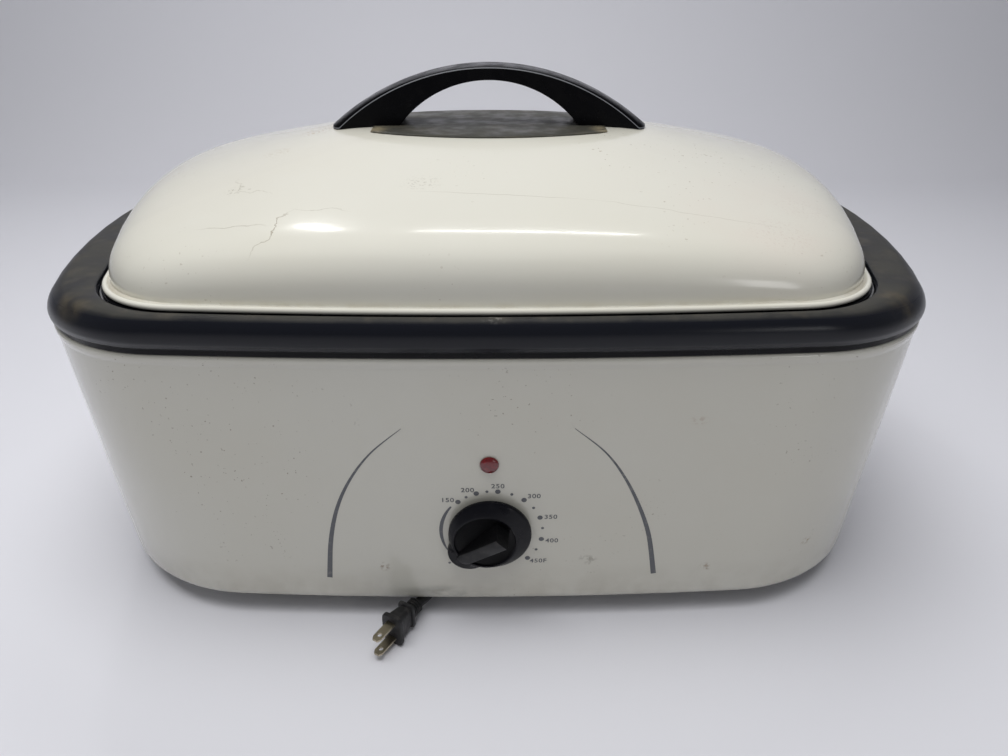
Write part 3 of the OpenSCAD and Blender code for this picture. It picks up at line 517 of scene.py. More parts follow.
finishes = {
    "bodyEnamel": bodyEnamel(),
    "lidEnamel": lidEnamel(),
    "rim": rimPlastic(),
    # near-black, less glossy plastic: painted shade on the rim's lower step band; also the matt edge of the
    # cookwell's flange
    "rimStep": blackPlastic("rimStepPlastic", (0.002, 0.002, 0.003), 0.3, 0.05, 0.15),
    "knob": blackPlastic("knobPlastic", (0.002, 0.002, 0.004), 0.24, 0.05, 0.25),
    "knobFace": blackPlastic("knobFacePlastic", (0.003, 0.003, 0.0035), 0.5, 0.05, 0.15),
    "grip": blackPlastic("gripPlastic", (0.02, 0.02, 0.021), 0.45, 0.6),
    "handle": blackPlastic("handlePlastic", (0.002, 0.002, 0.0027), 0.22, 0.04, 0.12),
    # light grey plastic for the handle's edge bevels: painted highlight
    "paintedHighlightEdge": blackPlastic("paintedHighlightEdgePlastic", (0.15, 0.155, 0.165), 0.3, 0.1, 0.6),
    # the lid's enamel at 1.08 tone for the rolled bead: painted highlight
    "bead": enamelBase("beadEnamelHighlight", 1.08),
    "plate": plateMetal(),
    "zinc": metal("zincSteel", (0.62, 0.62, 0.6), 0.34),
    "liner": metal("linerSteel", (0.56, 0.56, 0.54), 0.38),
    "heater": metal("heaterSheath", (0.34, 0.3, 0.25), 0.5),
    "blade": metal("bladeMetal", (0.46, 0.41, 0.31), 0.36, scratch=(20, 1, 1)),
    "chrome": metal("chromeWire", (0.72, 0.72, 0.72), 0.14),
    "dark": darkEnamel(),
    "lens": redLensFinish(),
}
for key, values in plainFinishes.items():
    finishes[key] = plainFinish(*values)
varyRoughness(finishes["cord"], noiseMask(finishes["cord"], 90, 0.3, 0.7), 0.4, 0.65)
print("finishes made:", len(finishes))


# cord, on the same route as the solid, and its plug

cordSet = {
    "diameter": 7.0,
    "exit": (70, -111, 7.8),      # end of the relief's boot
    "route": [(70, -136, 8), (70, -124, 8), (70, -112, 7.8), (70, -84, 4.8), (70, -50, 3.7), (70, 0, 3.7),
              (70, 60, 3.7), (68, 100, 3.7), (58, 132, 3.7), (38, 155, 3.7), (12, 165, 3.7),
              (-18, 163, 3.7), (-42, 150, 3.7), (-58, 126, 3.7), (-64, 95, 3.7), (-64, 40, 3.7),
              (-62, -20, 3.7), (-56, -80, 3.7), (-48, -125, 3.8), (-42, -155, 4.6),
              (-40, -175, 6.4), (-43, -192, 9), (-53, -209.5, 12.4)],
}


def splinePoint(p, i, t):
    n = len(p) - 1
    a, b, c, d = [Vector(p[k]) for k in (max(i - 1, 0), i, i + 1, min(i + 2, n))]
    return (2 * b + (c - a) * t + (2 * a - 5 * b + 4 * c - d) * t * t + (3 * b - a - 3 * c + d) * t ** 3) / 2


def makeCord():
    route = cordSet["route"]
    line = [splinePoint(route, i, k / 8) for i in range(len(route) - 1) for k in range(8)]
    line.append(Vector(route[-1]))
    length = sum((b - a).length for a, b in zip(line, line[1:])) * mm
    curve = bpy.data.curves.new("cord_line", "CURVE")
    curve.dimensions = "3D"
    curve.bevel_depth = cordSet["diameter"] / 2 * mm
    curve.bevel_resolution = 6
    curve.use_fill_caps = True
    spline = curve.splines.new("POLY")
    spline.points.add(len(line) - 1)
    for point, place in zip(spline.points, line):
        point.co = (place.x * mm, (place.y + shiftY) * mm, place.z * mm, 1)
    curve.materials.append(finishes["cord"])
    return addToScene("cord_lead", curve), length


cordPiece, cordLength = makeCord()
print("cord", round(cordLength, 3), "m")


# plug: a flat-sided grip with a flange, a ribbed relief and two flat blades

plugSet = {
    "heading": 239, "inside": 3, "reliefLength": 10, "gripLength": 18,
    "bladePitch": 12.7, "bladeLength": 17, "bladeWidth": 6.4, "bladeThick": 1.5, "bladeChamfer": (2.4, 1.4),
    "bladeHole": 1.6, "holeInset": 5,
    "ribs": 5, "ribPitch": 2.0,
    # each station: distance along the plug, half width, half height, roundness
    "rib": [(0.4, 4.2, 4.2, 2.0), (0.7, 5.4, 5.6, 2.2), (1.5, 5.4, 5.6, 2.2), (1.8, 4.3, 4.4, 2.0)],
    "grip": [(10.0, 4.6, 5.2, 2.4), (10.1, 6.2, 9.4, 4), (10.4, 6.6, 9.9, 5), (12, 6.6, 9.9, 5),
             (12.4, 6.3, 9.5, 4.5), (12.6, 5.2, 7.9, 4), (15, 5.3, 8.4, 4.5), (22, 6.0, 9.8, 4.5),
             (24.2, 6.2, 10.3, 4.5), (24.7, 7.2, 11.2, 5), (25.1, 7.9, 11.9, 5), (25.6, 8.0, 12.0, 5),
             (27.4, 8.0, 12.0, 5), (27.9, 7.7, 11.7, 5), (28, 7.2, 11.2, 5)],
}


def plugPlace():
    turn = Matrix.Rotation(radians(plugSet["heading"]), 4, "Z")
    back = Matrix.Translation(Vector((-plugSet["inside"], 0, 0)))
    return Matrix.Translation(Vector(cordSet["route"][-1])) @ turn @ back


def superEllipse(halfY, halfZ, power, count):
    points, bend = [], 2 / power
    for i in range(count):
        a = 2 * pi * i / count
        c, s = cos(a), sin(a)
        points.append((halfY * copysign(abs(c) ** bend, c), halfZ * copysign(abs(s) ** bend, s)))
    return points


def makePlugBody():
    stations = [(0, 3.7, 3.7, 2.0)]
    for i in range(plugSet["ribs"]):
        stations += [(x + i * plugSet["ribPitch"], *size) for x, *size in plugSet["rib"]]
    stations += plugSet["grip"]
    place = plugPlace()
    rings = [turned(place, [(x, *p) for p in superEllipse(*size, 40)]) for x, *size in stations]
    return loft("plug_grip", rings, finishes["cord"], angle=50)


def makeBlades():
    place = plugPlace()
    front = plugSet["reliefLength"] + plugSet["gripLength"]
    halfWide, length = plugSet["bladeWidth"] / 2, plugSet["bladeLength"]
    cutX, cutY = plugSet["bladeChamfer"]
    points, faces = [], []
    for side in (-1, 1):
        work = bmesh.new()
        edge = [(0, -halfWide), (length - cutX, -halfWide), (length, -halfWide + cutY),
                (length, halfWide - cutY), (length - cutX, halfWide), (0, halfWide)]
        hole = arcPoints((length - plugSet["holeInset"], 0), plugSet["bladeHole"], 0, 2 * pi, 20)
        for z in (-plugSet["bladeThick"] / 2, plugSet["bladeThick"] / 2):
            loops = []
            for outlinePart in (edge, hole):
                verts = [work.verts.new((x, y, z)) for x, y in outlinePart]
                loops += [work.edges.new((a, b)) for a, b in zip(verts, verts[1:] + verts[:1])]
            bmesh.ops.triangle_fill(work, edges=loops, use_beauty=True)
        work.verts.ensure_lookup_table()
        count = len(edge) + len(hole)
        for start, size in ((0, len(edge)), (len(edge), len(hole))):
            for k in range(size):
                a, b = start + k, start + (k + 1) % size
                work.faces.new([work.verts[i] for i in (a, b, b + count, a + count)])
        work.verts.index_update()
        base = len(points)
        shift = Vector((front, 0, side * plugSet["bladePitch"] / 2))
        points += turned(place, [v.co + shift for v in work.verts])
        faces += [tuple(v.index + base for v in f.verts) for f in work.faces]
        work.free()
    return newPiece("plug_contacts", points, faces, finishes["blade"], 30)


plugBody = finishPiece(makePlugBody(), "housing", "cord_pvc", "plug_body")
plugBlades = finishPiece(makeBlades(), "housing", "blade_brass", "plug_blades")
finishPiece(cordPiece, "housing", "cord_pvc", "cord")
print("plug made")


# painted body shell with a rolled lip and a rolled bottom edge

bodySet = {"wall": 1.2, "lipX": 1, "lipY": 4, "lipOut": 1.2, "lipRound": 2.4, "lipWide": 6, "flare": 5,
           "taperX": 8, "taperY": 3, "footCorner": 118, "roll": 9, "flange": 16, "wallTop": 8}
lipPlan = drawIn(rimPlan, bodySet["lipX"], bodySet["lipY"])
wallPlan = drawIn(lipPlan, bodySet["lipOut"], bodySet["lipOut"])
footPlan = withCorner(drawIn(wallPlan, bodySet["taperX"], bodySet["taperY"]), bodySet["footCorner"])
wallLow, wallHigh = footZ + bodySet["roll"], topZ - bodySet["wallTop"]


def blendPlans(a, b, t):
    return tuple(p + (q - p) * t for p, q in zip(a, b))


def makeBody():
    t, r, lip, wide = [bodySet[key] for key in ("wall", "roll", "lipRound", "lipWide")]
    floorPlan = drawIn(footPlan, r, r)
    outer = [insetRing(floorPlan, bodySet["flange"], footZ)]
    for k in range(11):      # roll of the bottom edge
        a = radians(9 * k)
        outer.append(insetRing(footPlan, r * (1 - sin(a)), footZ + r * (1 - cos(a))))
    for k in range(1, 13):
        plan = blendPlans(footPlan, wallPlan, k / 12)
        outer.append(ring(plan, wallLow + (wallHigh - wallLow) * k / 12))
    for k in range(1, 7):      # flare towards the lip
        rise = k / 7
        out = bodySet["lipOut"] * rise * rise * (3 - 2 * rise)
        outer.append(insetRing(wallPlan, -out, wallHigh + bodySet["flare"] * rise))
    for k in range(9):      # roll of the lip
        a = radians(-10 + 12.5 * k)
        outer.append(insetRing(lipPlan, lip - lip * cos(a), topZ - lip + lip * sin(a)))
    inner = [insetRing(lipPlan, wide, topZ), insetRing(lipPlan, wide, topZ - t),
             insetRing(wallPlan, t + 1, topZ - t), insetRing(wallPlan, t, wallHigh)]
    for k in range(6):
        a = radians(90 - 18 * k)
        inset = t + (r - t) * (1 - sin(a))
        inner.append(insetRing(footPlan, inset, footZ + t + (r - t) * (1 - cos(a))))
    inner.append(insetRing(floorPlan, bodySet["flange"], footZ + t))
    return loft("body_shell", outer + inner, finishes["bodyEnamel"], closed=True, angle=38)


finishPiece(makeBody(), "housing", "enamel", "outer_body")
print("body shell made")


# black rim moulding

rimSet = {
    "recess": 4.9, "thick": 3,      # depth of the recess that the lid sits in, and the ledge's thickness
    # inset from the ends, inset from the sides, height over the body's lip
    "step": [(4.5, 6.5, 0.3), (2.6, 4.6, 0.3), (2.5, 4.5, 0.6), (2.5, 4.5, 3.2), (2.3, 4.4, 3.7),
             (0.6, 3.5, 4.4), (0.15, 3.2, 4.8), (0.05, 2.9, 5.3)],
    "face": [(0.05, 2.2, 6.6), (0.5, 0.8, 9), (2.2, 0.05, 13), (5, 0.4, 17), (9, 1.9, 20.5), (13, 4.1, 22.9),
             (17.5, 6.6, 23.95), (20.5, 8.2, 24.2)],
    "mouth": [(-1.6, 0), (-0.8, 0.25), (-0.3, 0.9), (-0.1, 1.7)],      # inset, depth under the rim's top
    "corner": (0.5, 0.8),
}
recessPlan = drawIn(beadPlan, -3, -3)
ledgePlan = drawIn(beadPlan, 14.5, 14.5)


def smoothSection(knots, steps):
    points = []
    for i in range(len(knots) - 1):
        for k in range(steps):
            points.append(tuple(splinePoint(knots, i, k / steps)))
    return points + [tuple(knots[-1])]


def makeRim():
    outer = rimSet["step"] + smoothSection(rimSet["face"], 5)
    rings = [ring(drawIn(rimPlan, dx, dy), topZ + z) for dx, dy, z in outer]
    ledge = rimZ - rimSet["recess"]
    rings += [insetRing(recessPlan, inset, rimZ - down) for inset, down in rimSet["mouth"]]
    inset, rise = rimSet["corner"]
    rings += [ring(recessPlan, ledge + rise), insetRing(recessPlan, inset, ledge)]
    under = ledge - rimSet["thick"]
    inside = [(13, 9.5, under), (7, 9, topZ + 6), (7, 9, topZ + 0.3)]
    rings += [ring(ledgePlan, ledge), ring(ledgePlan, under)]
    rings += [ring(drawIn(rimPlan, dx, dy), z) for dx, dy, z in inside]
    rim = loft("rim_moulding", rings, finishes["rim"], closed=True, angle=42)
    # the lower step band is painted near black and less glossy: painted shade
    paintRows(rim, len(rings[0]), range(0, 5), finishes["rimStep"])
    return rim


finishPiece(makeRim(), "housing", "rim_plastic", "rim")
print("rim made")


# domed lid with a rolled bead

lidSet = {
    "sheet": 1.2, "bead": 2.0, "corner": 66, "gutterX": 4, "gutterY": 6, "foot": 3.3, "rings": 44,
    "ringPower": 2.1, "shoulder": 26, "shoulderPower": 17, "shoulderRound": 1 / 2.2,
    "crown": 46, "round": 0.3, "fallX": 1.13, "fallPower": 2.45, "fallY": 1.3,
    "seat": 68.37, "seatBlend": 2.5,      # height over the bead of the flat pressed under the handle
}
domePlan = withCorner(drawIn(beadPlan, lidSet["gutterX"], lidSet["gutterY"]), lidSet["corner"])
domeZ = beadZ + lidSet["foot"]


def shoulder(s):
    return max(1 - s ** lidSet["shoulderPower"], 0) ** lidSet["shoulderRound"]


def crown(x, y):
    fall = lidSet["fallX"] * abs(x / domePlan[0]) ** lidSet["fallPower"]
    fall += lidSet["fallY"] * (y / domePlan[1]) ** 2
    return 1 + lidSet["round"] - sqrt(lidSet["round"] ** 2 + fall)


def seated(z):      # pressed flat in the middle, where the plate and handle stand
    seat, blend = beadZ + lidSet["seat"], lidSet["seatBlend"]
    t = min(max(0.5 + 0.5 * (seat - z) / blend, 0), 1)
    return seat * (1 - t) + z * t - blend * t * (1 - t)


def domeTop(x, y):
    return seated(domeZ + lidSet["shoulder"] + lidSet["crown"] * crown(x, y))


def domeRing(s, inset):
    rise = domeZ + lidSet["shoulder"] * shoulder(s)
    return [(x * s, y * s, seated(rise + lidSet["crown"] * crown(x * s, y * s)) - inset)
            for x, y in outline(drawIn(domePlan, inset, inset))]


def makeLid():
    t, b, n = lidSet["sheet"], lidSet["bead"], lidSet["rings"]
    inX, inY = lidSet["gutterX"], lidSet["gutterY"]
    steps = [1 - (i / n) ** lidSet["ringPower"] for i in range(n)] + [0.02]
    under = [domeRing(s, t) for s in reversed(steps)]
    under += [insetRing(domePlan, t, beadZ + 1.2), insetRing(domePlan, t - 0.1, beadZ + 0.4),
              ring(drawIn(beadPlan, inX + 0.9, inY + 0.3), beadZ - 0.4)]
    bead = []
    for k in range(15):
        a = radians(200 + 20 * k)
        bead.append(insetRing(beadPlan, b * (1 - cos(a)), beadZ + b * sin(a)))
    outer = [ring(drawIn(beadPlan, inX - 0.5, inY - 1.6), beadZ + 0.9),
             ring(drawIn(beadPlan, inX - 0.3, inY - 0.7), beadZ + 0.9),
             insetRing(domePlan, -0.1, beadZ + 1.3), ring(domePlan, beadZ + 2.0)]
    outer += [domeRing(s, 0) for s in steps]
    lid = loft("lid_dome", under + bead + outer, finishes["lidEnamel"], angle=50)
    # the bead's rows get the lighter enamel: painted highlight
    paintRows(lid, len(bead[0]), range(len(under) - 1, len(under) + len(bead)), finishes["bead"])
    return lid


finishPiece(makeLid(), "lid", "enamel", "lid")
print("lid made")


# guard plate under the handle, lying on the dome's top, with straight cut ends

plateSet = {"halfX": 85, "sweepX": 107, "halfY": 57, "lift": 0.05, "thick": 0.9, "rings": 14, "around": 128}


def plateRing(s, lift):
    points = []
    for j in range(plateSet["around"]):
        a = 2 * pi * j / plateSet["around"]
        x = max(-plateSet["halfX"], min(plateSet["halfX"], plateSet["sweepX"] * cos(a))) * s
        y = plateSet["halfY"] * s * sin(a)
        points.append((x, y, domeTop(x, y) + lift))
    return points


def makePlate():
    n, low = plateSet["rings"], plateSet["lift"]
    high = low + plateSet["thick"]
    steps = [(i + 0.1) / (n + 0.1) for i in range(n)] + [0.997]
    under = [plateRing(s, low) for s in steps]
    top = [plateRing(s, high) for s in reversed(steps)]
    edge = [plateRing(1, low + 0.25), plateRing(1, high - 0.25)]
    return loft("guard_plate", under + edge + top, finishes["plate"], angle=60)


finishPiece(makePlate(), "lid", "plate_metal", "handle_plate")


# arched handle with a crowned top band over flat front and back faces

handleSet = {
    "half": 117.5, "endRound": 9, "halfWide": 17, "top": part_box("lid_handle")[1].z / mm, "bevel": 0.7,
    "archR": 184, "gripR": 85, "gripThick": 9.6, "edgeR": 168, "edgeDrop": 1, "lift": 1.0, "liftOut": 0.1,
    "lowBevel": 0.35, "edgeHigh": 1.3, "bandHigh": 0.8, "bandPower": 0.9,
    "stations": 70, "sweep": radians(88),      # stations closer together towards the ends
}


def arch(x, radius, top):
    return top - radius + sqrt(radius * radius - x * x)


def handleWidth(x):
    e = handleSet["endRound"]
    u = max(abs(x) - (handleSet["half"] - e), 0) / e
    return handleSet["halfWide"] * sqrt(max(1 - 0.98 * u * u, 0))


def handleSection(x):
    top = handleSet["top"]
    w = handleWidth(x)
    high = arch(x, handleSet["archR"], top)
    edge = arch(x, handleSet["edgeR"], top - handleSet["edgeDrop"])
    low = 0
    if abs(x) < handleSet["gripR"] - 1:
        low = arch(x, handleSet["gripR"], top - handleSet["gripThick"])
    lift = handleSet["lift"] if abs(x) < plateSet["halfX"] + 1 else handleSet["liftOut"]
    base = [max(low, domeTop(x, w * k / 3) + lift) for k in range(4)]
    bevel, small = min(handleSet["bevel"], w / 8), handleSet["lowBevel"]
    edge = max(edge, base[3] + handleSet["edgeHigh"])
    high = max(high, edge + handleSet["bandHigh"])
    half = [(w * k / 3, base[k]) for k in range(3)]
    half += [(w - small, base[3]), (w, base[3] + small), (w, (base[3] + small + edge - bevel) / 2),
             (w, edge - bevel), (w - bevel, edge)]
    for k in range(1, 11):      # crowned band
        a = radians(9 * k)
        half.append(((w - bevel) * cos(a), edge + (high - edge) * sin(a) ** handleSet["bandPower"]))
    points = [(x, y, z) for y, z in half]
    return points + [(x, -y, z) for y, z in reversed(half[1:-1])]


def makeHandle():
    n, sweep = handleSet["stations"], handleSet["sweep"]
    sections = [handleSection(handleSet["half"] * sin(sweep * i / n) / sin(sweep)) for i in range(-n, n + 1)]
    around = len(sections[0])
    handle = loft("arched_handle", sections, finishes["handle"], angle=32)
    # the bevels along the top band's edges are painted light grey: painted highlight
    paintRows(handle, around, range(len(sections)), finishes["paintedHighlightEdge"], (6, around - 7))
    return handle


finishPiece(makeHandle(), "lid", "handle_plastic", "lid_handle")
print("handle and plate made")


# front panel: its face leans in towards the foot and is bowed a little

panelTilt = atan(bodySet["taperY"] / (wallHigh - wallLow))


def panelFace(x, z):
    middle = wallPlan[1] - bodySet["taperY"] * (wallHigh - z) / (wallHigh - wallLow)
    bow = rimPlan[4] - sqrt(rimPlan[4] ** 2 - x * x)
    return bow - middle


def onPanel(z):
    lean = Matrix.Rotation(pi / 2 + panelTilt, 4, "X")
    return Matrix.Translation(Vector((0, panelFace(0, z), z))) @ lean


# knob: a skirt with a pointer nose and a sloping grip

knobSet = {
    "radius": 27, "off": 225, "noseAt": 19, "noseR": 14.5, "barWide": 9.4, "barFlare": 1.25, "around": 144,
    "below": 126.5,      # the axis under the body's lip
    "lean": 4.6, "drop": 1.2,      # the face sits off the skirt's middle and falls towards the pointer
    # radius, height, share of the nose, share of the lean; the last rows are the sunk face
    "profile": [(22.6, 5.4, 0, 0), (22.6, 3.2, 0, 0), (26.0, 3.0, 1, 0), (26.8, 3.15, 1, 0), (27, 3.6, 1, 0),
                (26.9, 5.0, 1, 0), (26.6, 5.7, 1, 0.02), (25.9, 6.4, 1, 0.08), (21.9, 8.5, 0.75, 0.9),
                (21.3, 8.9, 0.7, 0.97), (20.7, 9.0, 0.6, 1), (20.2, 8.8, 0.5, 1), (19.6, 7.8, 0.3, 1),
                (18.6, 7.2, 0, 1), (10, 7.0, 0, 0.6), (1, 7.0, 0, 0)],
    "faceRow": 12, "crest": 7.5,
    # place along the bar, its foot and its top
    "bar": [(-12, 6, 18), (-11.8, 6, 22.2), (-11.3, 6, 23.2), (-10.5, 6, 23.5), (-6, 6, 21.8), (2, 6, 18.7),
            (10, 6, 15.6), (18, 5, 12.5), (24, 5, 10.1), (26.5, 5, 9.1), (27.9, 5, 8.2)],
    "tipFrom": 24, "tipFade": 11,
}
knobZ = topZ - knobSet["below"]


def knobRadius(a, r, nose):
    d, c = knobSet["noseAt"] * nose, knobSet["noseR"] * (0.4 + 0.6 * nose) * r / knobSet["radius"]
    toward = cos(a)
    inside = c * c - (d * sin(a)) ** 2
    reach = d * toward + sqrt(inside) if inside > 0 and toward > 0 else 0
    return max(r, reach)


def knobTurn():
    return onPanel(knobZ) @ Matrix.Rotation(radians(-knobSet["off"]), 4, "Z")


def makeSkirt():
    turn = knobTurn()
    around = knobSet["around"]
    rings = []
    for r, z, nose, lean in knobSet["profile"]:
        row = []
        for k in range(around):
            a = 2 * pi * k / around
            x, y = -r * sin(a), r * cos(a) + knobSet["lean"] * lean
            far = hypot(x, y)
            reach = knobRadius(atan2(-x, y), far, nose) / far if nose else 1
            drop = knobSet["drop"] * lean * max(cos(a), 0) ** 3 if z > knobSet["crest"] else 0
            row.append((x * reach, y * reach, z - drop))
        rings.append(turned(turn, row))
    skirt = loft("knob_skirt", rings, finishes["knob"], angle=35)
    paintRows(skirt, around, range(knobSet["faceRow"], len(rings) + 1), finishes["knobFace"])
    return skirt


def makeGrip():
    turn = knobTurn()
    half, flare = knobSet["barWide"] / 2, knobSet["barFlare"]
    rings = []
    for y, low, high in knobSet["bar"]:
        w = half * min(1, 1 - (y - knobSet["tipFrom"]) / knobSet["tipFade"])
        side = [(w - 0.9, high), (w - 0.25, high - 0.3), (w, high - 0.9),
                (w * 1.12, low + (high - low) * 0.5), (w * flare, low)]
        row = [(-x, z) for x, z in reversed(side)] + [(0, high + 0.02)] + side
        rings.append(turned(turn, [(x, y, z) for x, z in row]))
    grip = loft("knob_grip", rings, finishes["knobFace"], angle=30)
    paintRows(grip, len(row), range(3, len(rings) - 1), finishes["grip"], range(2, 8))
    return grip


finishPiece(makeSkirt(), "knob", "knob_plastic", "knob")
finishPiece(makeGrip(), "knob", "knob_plastic")
print("knob made")


# indicator lens: a low red dome with a flat edge

lensSet = {"radius": 6, "rise": 52.5, "high": 3.0}


def makeLens():
    turn = onPanel(knobZ + lensSet["rise"])
    r = lensSet["radius"]
    profile = [(3.9, -5.8), (3.9, 0.3), (r - 0.3, 0.3), (r, 0.5), (r, 0.8), (r - 0.25, 1.15)]
    for k in range(1, 9):
        a = radians(10 * k)
        profile.append(((r - 0.3) * cos(a), 1.15 + (lensSet["high"] - 1.15) * sin(a)))
    rings = [turned(turn, [(*p, z) for p in arcPoints((0, 0), radius, 0, 2 * pi, 48)])
             for radius, z in profile]
    return loft("lens_dome", rings, finishes["lens"], angle=40)


finishPiece(makeLens(), "housing", "red_lens", "indicator_lens")


# print on the panel: dots, numbers and arcs, a hair above the enamel

dialSet = {
    "ringR": 32.75, "bigDot": 1.75, "smallDot": 1.0,
    "marks": [("150", -41.8, (-28.5, 25.8)), ("200", -17.9, (-15.6, 33.7)), ("250", 6.3, (3.6, 36.7)),
              ("300", 38.2, (26.6, 28.6)), ("350", 69.9, (37.7, 11.6)), ("400", 101.9, (39.0, -8.3)),
              ("450F", 134.8, (30.4, -25.7))],
    "between": [-30.4, -5.8, 22.3, 53.9, 85.6, 118.5],
    "offDot": (-133, 39.4, 0.9),
    "middle": (1.6, -1.0),      # the print sits a little off the knob's axis
    "offArc": (-52, -122, 33.5, 1.1),
    "textSize": 4.686, "textWide": 1.12, "textSpace": 1.12, "textBold": 0.09,
    "leftArc": [(-52.9, 78.9), (-72.5, 61.2), (-87, 41.2), (-97.7, 18.2), (-104.8, -9.2), (-109.2, -42.2)],
    "rightArc": [(51.7, 78.6), (71.1, 61.2), (84.6, 41.8), (95.8, 18.7), (104.6, -6.6), (111.0, -40.5)],
    "arcWide": 3.4,
}
inkGap = 0.06      # how far the print stands off the panel


def panelPoint(x, z):
    return (x, panelFace(x, z) - inkGap, z)


def onDial(angle, radius):      # clockwise from the top, about the middle of the print
    a = radians(angle)
    middleX, middleZ = dialSet["middle"]
    return middleX + radius * sin(a), knobZ + middleZ + radius * cos(a)


def dotShape(angle, far, radius, count=24):
    x, z = onDial(angle, far)
    edge = [panelPoint(*point) for point in arcPoints((x, z), radius, 0, 2 * pi, count)]
    return [panelPoint(x, z)] + edge, [(0, k + 1, (k + 1) % count + 1) for k in range(count)]


def stripShape(middleLine, widths):
    points, faces = [], []
    last = len(middleLine) - 1
    for i, (x, z) in enumerate(middleLine):
        x0, z0 = middleLine[max(i - 1, 0)]
        x1, z1 = middleLine[min(i + 1, last)]
        size = hypot(x1 - x0, z1 - z0)
        nx, nz = -(z1 - z0) / size, (x1 - x0) / size
        w = widths[i] / 2
        points += [panelPoint(x + nx * w, z + nz * w), panelPoint(x - nx * w, z - nz * w)]
        if i < last:
            faces.append((2 * i, 2 * i + 1, 2 * i + 3, 2 * i + 2))
    return points, faces


def bowLine(knots, steps=8):
    flat = [(x, z, 0) for x, z in knots]
    return [(p[0], p[1]) for p in smoothSection(flat, steps)]


def addPrint(name, shapes):
    points, faces = [], []
    for shapePoints, shapeFaces in shapes:
        base = len(points)
        points += shapePoints
        for face in shapeFaces:
            face = [i + base for i in face]
            a, b, c = [Vector(points[i]) for i in face[:3]]
            faces.append(face if (b - a).cross(c - a).y < 0 else face[::-1])      # facing out
    return finishPiece(newObject(name, inScene(points), faces, finishes["ink"]), "housing", "enamel")


def numberShape(text, x, z):
    curve = bpy.data.curves.new("number", "FONT")
    curve.body = text
    curve.size = dialSet["textSize"] * mm
    curve.space_character = dialSet["textSpace"]
    curve.align_x = curve.align_y = "CENTER"
    curve.offset = dialSet["textBold"] * mm
    obj = addToScene("number", curve)
    bpy.context.view_layer.update()
    mesh = obj.evaluated_get(bpy.context.evaluated_depsgraph_get()).to_mesh()
    x += dialSet["middle"][0]
    z += dialSet["middle"][1]
    points = [panelPoint(x + v.co.x / mm * dialSet["textWide"], z + v.co.y / mm) for v in mesh.vertices]
    faces = [tuple(p.vertices) for p in mesh.polygons]
    bpy.data.objects.remove(obj)
    return points, faces


def makeDial():
    shapes = []
    for text, angle, (x, z) in dialSet["marks"]:
        shapes.append(dotShape(angle, dialSet["ringR"], dialSet["bigDot"]))
        shapes.append(numberShape(text, x, knobZ + z))
    for angle in dialSet["between"]:
        shapes.append(dotShape(angle, dialSet["ringR"], dialSet["smallDot"]))
    shapes.append(dotShape(*dialSet["offDot"]))
    start, end, radius, wide = dialSet["offArc"]
    line, widths = [], []
    for k in range(29):
        line.append(onDial(start + (end - start) * k / 28, radius))
        widths.append(0.25 + 2 * wide * sin(pi * min(1, k / 28 * 0.9 + 0.1)) ** 0.8)
    shapes.append(stripShape(line, widths))
    addPrint("dial_print", shapes)
    arcs = []
    for key in ("leftArc", "rightArc"):
        line = [(x, knobZ + z) for x, z in bowLine(dialSet[key])]
        widths = [0.25 + dialSet["arcWide"] * (i / (len(line) - 1)) ** 0.9 for i in range(len(line))]
        arcs.append(stripShape(line, widths))
    addPrint("panel_arcs", arcs)


makeDial()
print("dial printed")


# cookwell, finer than its solid

wellSet = {"inset": 21, "wall": 1.6, "depth": 146, "draft": 15, "floorRound": 14, "floorRise": 12,
           "mattEdge": 5}
wellPlan = drawIn(beadPlan, wellSet["inset"], wellSet["inset"])
flangePlan = drawIn(recessPlan, 2, 2)


def makeCookwell():
    t, rise = wellSet["wall"], wellSet["floorRise"]
    rest = panZ - t
    floor = panZ - wellSet["depth"]

    def wallPlanAt(z):
        draft = (rest - z) / wellSet["depth"] * wellSet["draft"]
        return drawIn(wellPlan, draft, draft)

    def lower(offset):      # rounded corner between wall and floor
        rows = []
        plan = wallPlanAt(floor + rise)
        for k in range(9):
            a = radians(90 * k / 8)
            inset = wellSet["floorRound"] * (1 - sin(a)) + offset
            z = floor + offset + (rise - offset * 0.3) * (1 - cos(a))
            rows.append(insetRing(plan, inset, z))
        return rows

    bend = wallPlanAt(rest - 5)
    flange = [(0.3, rest), (0, rest + 0.3), (0, panZ - 0.3), (0.3, panZ), (wellSet["mattEdge"], panZ)]
    mouth = [(-2.2, panZ), (-0.6, panZ - 0.6), (0.5, rest - 1.2)]
    top = [ring(bend, rest - 5), insetRing(wellPlan, -1.2, rest - 1), insetRing(wellPlan, -3, rest)]
    top += [insetRing(flangePlan, *step) for step in flange]
    top += [insetRing(wellPlan, *step) for step in mouth] + [insetRing(bend, t, rest - 6)]
    pan = loft("cookwell_pan", lower(0) + top + lower(t)[::-1], finishes["dark"], angle=40)
    paintRows(pan, len(top[0]), range(12, 16), finishes["rimStep"])      # matt edge of the flange
    return pan


finishPiece(makeCookwell(), "cookwell", "dark_enamel", "cookwell")
print("cookwell made")


# solids that keep their own shape get their finish

nodeFinishes = {
    "zinc": ["base_plate", "foot_screws", "heater_clamp", "heat_shield", "tie_bolt", "tie_nut",
             "thermostat_bracket", "bracket_screws", "lens_clip", "knob_stem", "knob_clip", "handle_screws",
             "handle_washers"],
    "rubber": ["foot_front_left", "foot_front_right", "foot_back_left", "foot_back_right"],
    "ceramic": ["thermostat", "terminal_block"],
    "cord": ["lead_wires", "cord_relief"],
    "chrome": ["rack", "rack_handles"],
    "liner": ["inner_liner"],
    "heater": ["heater_band"],
    "wool": ["insulation"],
    "lamp": ["indicator_lamp"],
}
for finishName, nodeNames in nodeFinishes.items():
    for nodeName in nodeNames:
        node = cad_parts[nodeName]
        node.data.materials.clear()
        node.data.materials.append(finishes[finishName])
print("solids finished:", sum(len(names) for names in nodeFinishes.values()))


# floor, backdrop and soft light

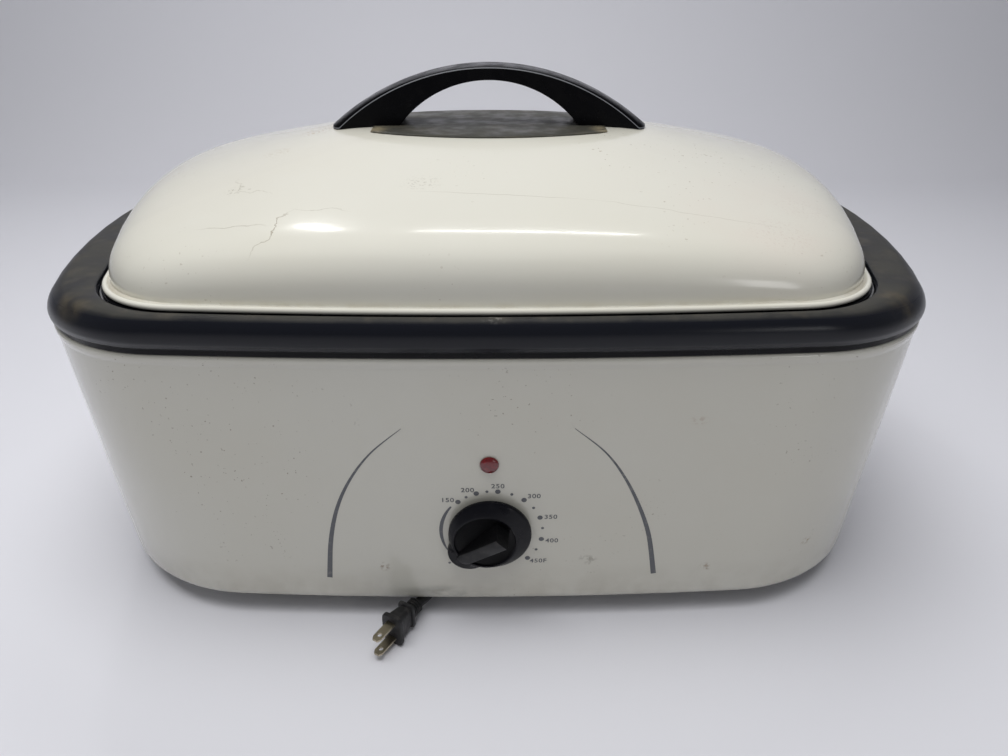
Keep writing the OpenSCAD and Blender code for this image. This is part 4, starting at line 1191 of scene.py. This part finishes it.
studioSet = {"floor": (0.72, 0.72, 0.76), "world": (0.78, 0.8, 0.86), "worldStrength": 0.2,
             "halfWide": 8, "front": 8, "back": 1.5, "curve": 0.5, "high": 2.6}      # in metres
lightSet = [      # place, target, size and power; the first three don't show in reflections
    ("overhead", (-0.2, -0.3, 1.75), (0, -0.02, 0.2), (1.6, 1.1), 26.5, False),
    ("back_top", (-0.1, 0.9, 1.5), (0, 0.1, 0.25), (1.4, 0.6), 3, False),
    ("front_fill", (-1.1, -1.5, 1.4), (0, 0, 0.15), (1.2, 0.8), 2.2, False),
    ("strip", (0.12, 0.49, 1.6), (0.03, -0.16, 0.27), (0.7, 0.035), 1.6, True),
    ("window", (-0.53, 0.68, 1.42), (-0.09, -0.16, 0.27), (0.075, 0.22), 0.9, True),
    ("side", (0.91, -1.45, 0.42), (0.16, -0.18, 0.24), (0.22, 0.36), 0.9, True),
]


def makeStudio():
    back, bend = studioSet["back"], studioSet["curve"]
    sweep = [(-studioSet["front"], 0), (-3.0, 0)]
    for k in range(16):
        a = radians(6 * k)
        sweep.append((back - bend + bend * sin(a), bend - bend * cos(a)))
    sweep.append((back, studioSet["high"]))
    points = [(x, y, z) for x in (-studioSet["halfWide"], studioSet["halfWide"]) for y, z in sweep]
    n = len(sweep)
    faces = [(i, i + 1, n + i + 1, n + i) for i in range(n - 1)]
    material = newMaterial("studioFloor", studioSet["floor"], 0.5)
    roughen(material, (30, 0.3, 0.7), 0.02, 0.3)
    floor = newObject("studio_floor", points, faces, material)
    for face in floor.data.polygons:
        face.use_smooth = True


def areaLight(name, place, target, size, power, glossy):
    data = bpy.data.lights.new(name, "AREA")
    data.shape = "RECTANGLE"
    data.size, data.size_y = size
    data.energy = power
    light = addToScene(name, data)
    light.location = place
    light.rotation_euler = (Vector(target) - Vector(place)).to_track_quat("-Z", "Y").to_euler()
    light.visible_glossy = glossy


def makeLights():
    world = bpy.data.worlds.new("studio")
    world.use_nodes = True
    setInputs(world.node_tree.nodes["Background"], {"Color": (*studioSet["world"], 1),
                                                    "Strength": studioSet["worldStrength"]})
    bpy.context.scene.world = world
    for light in lightSet:
        areaLight(*light)


makeStudio()
makeLights()
bpy.context.scene.view_settings.view_transform = "Standard"
print("studio ready")
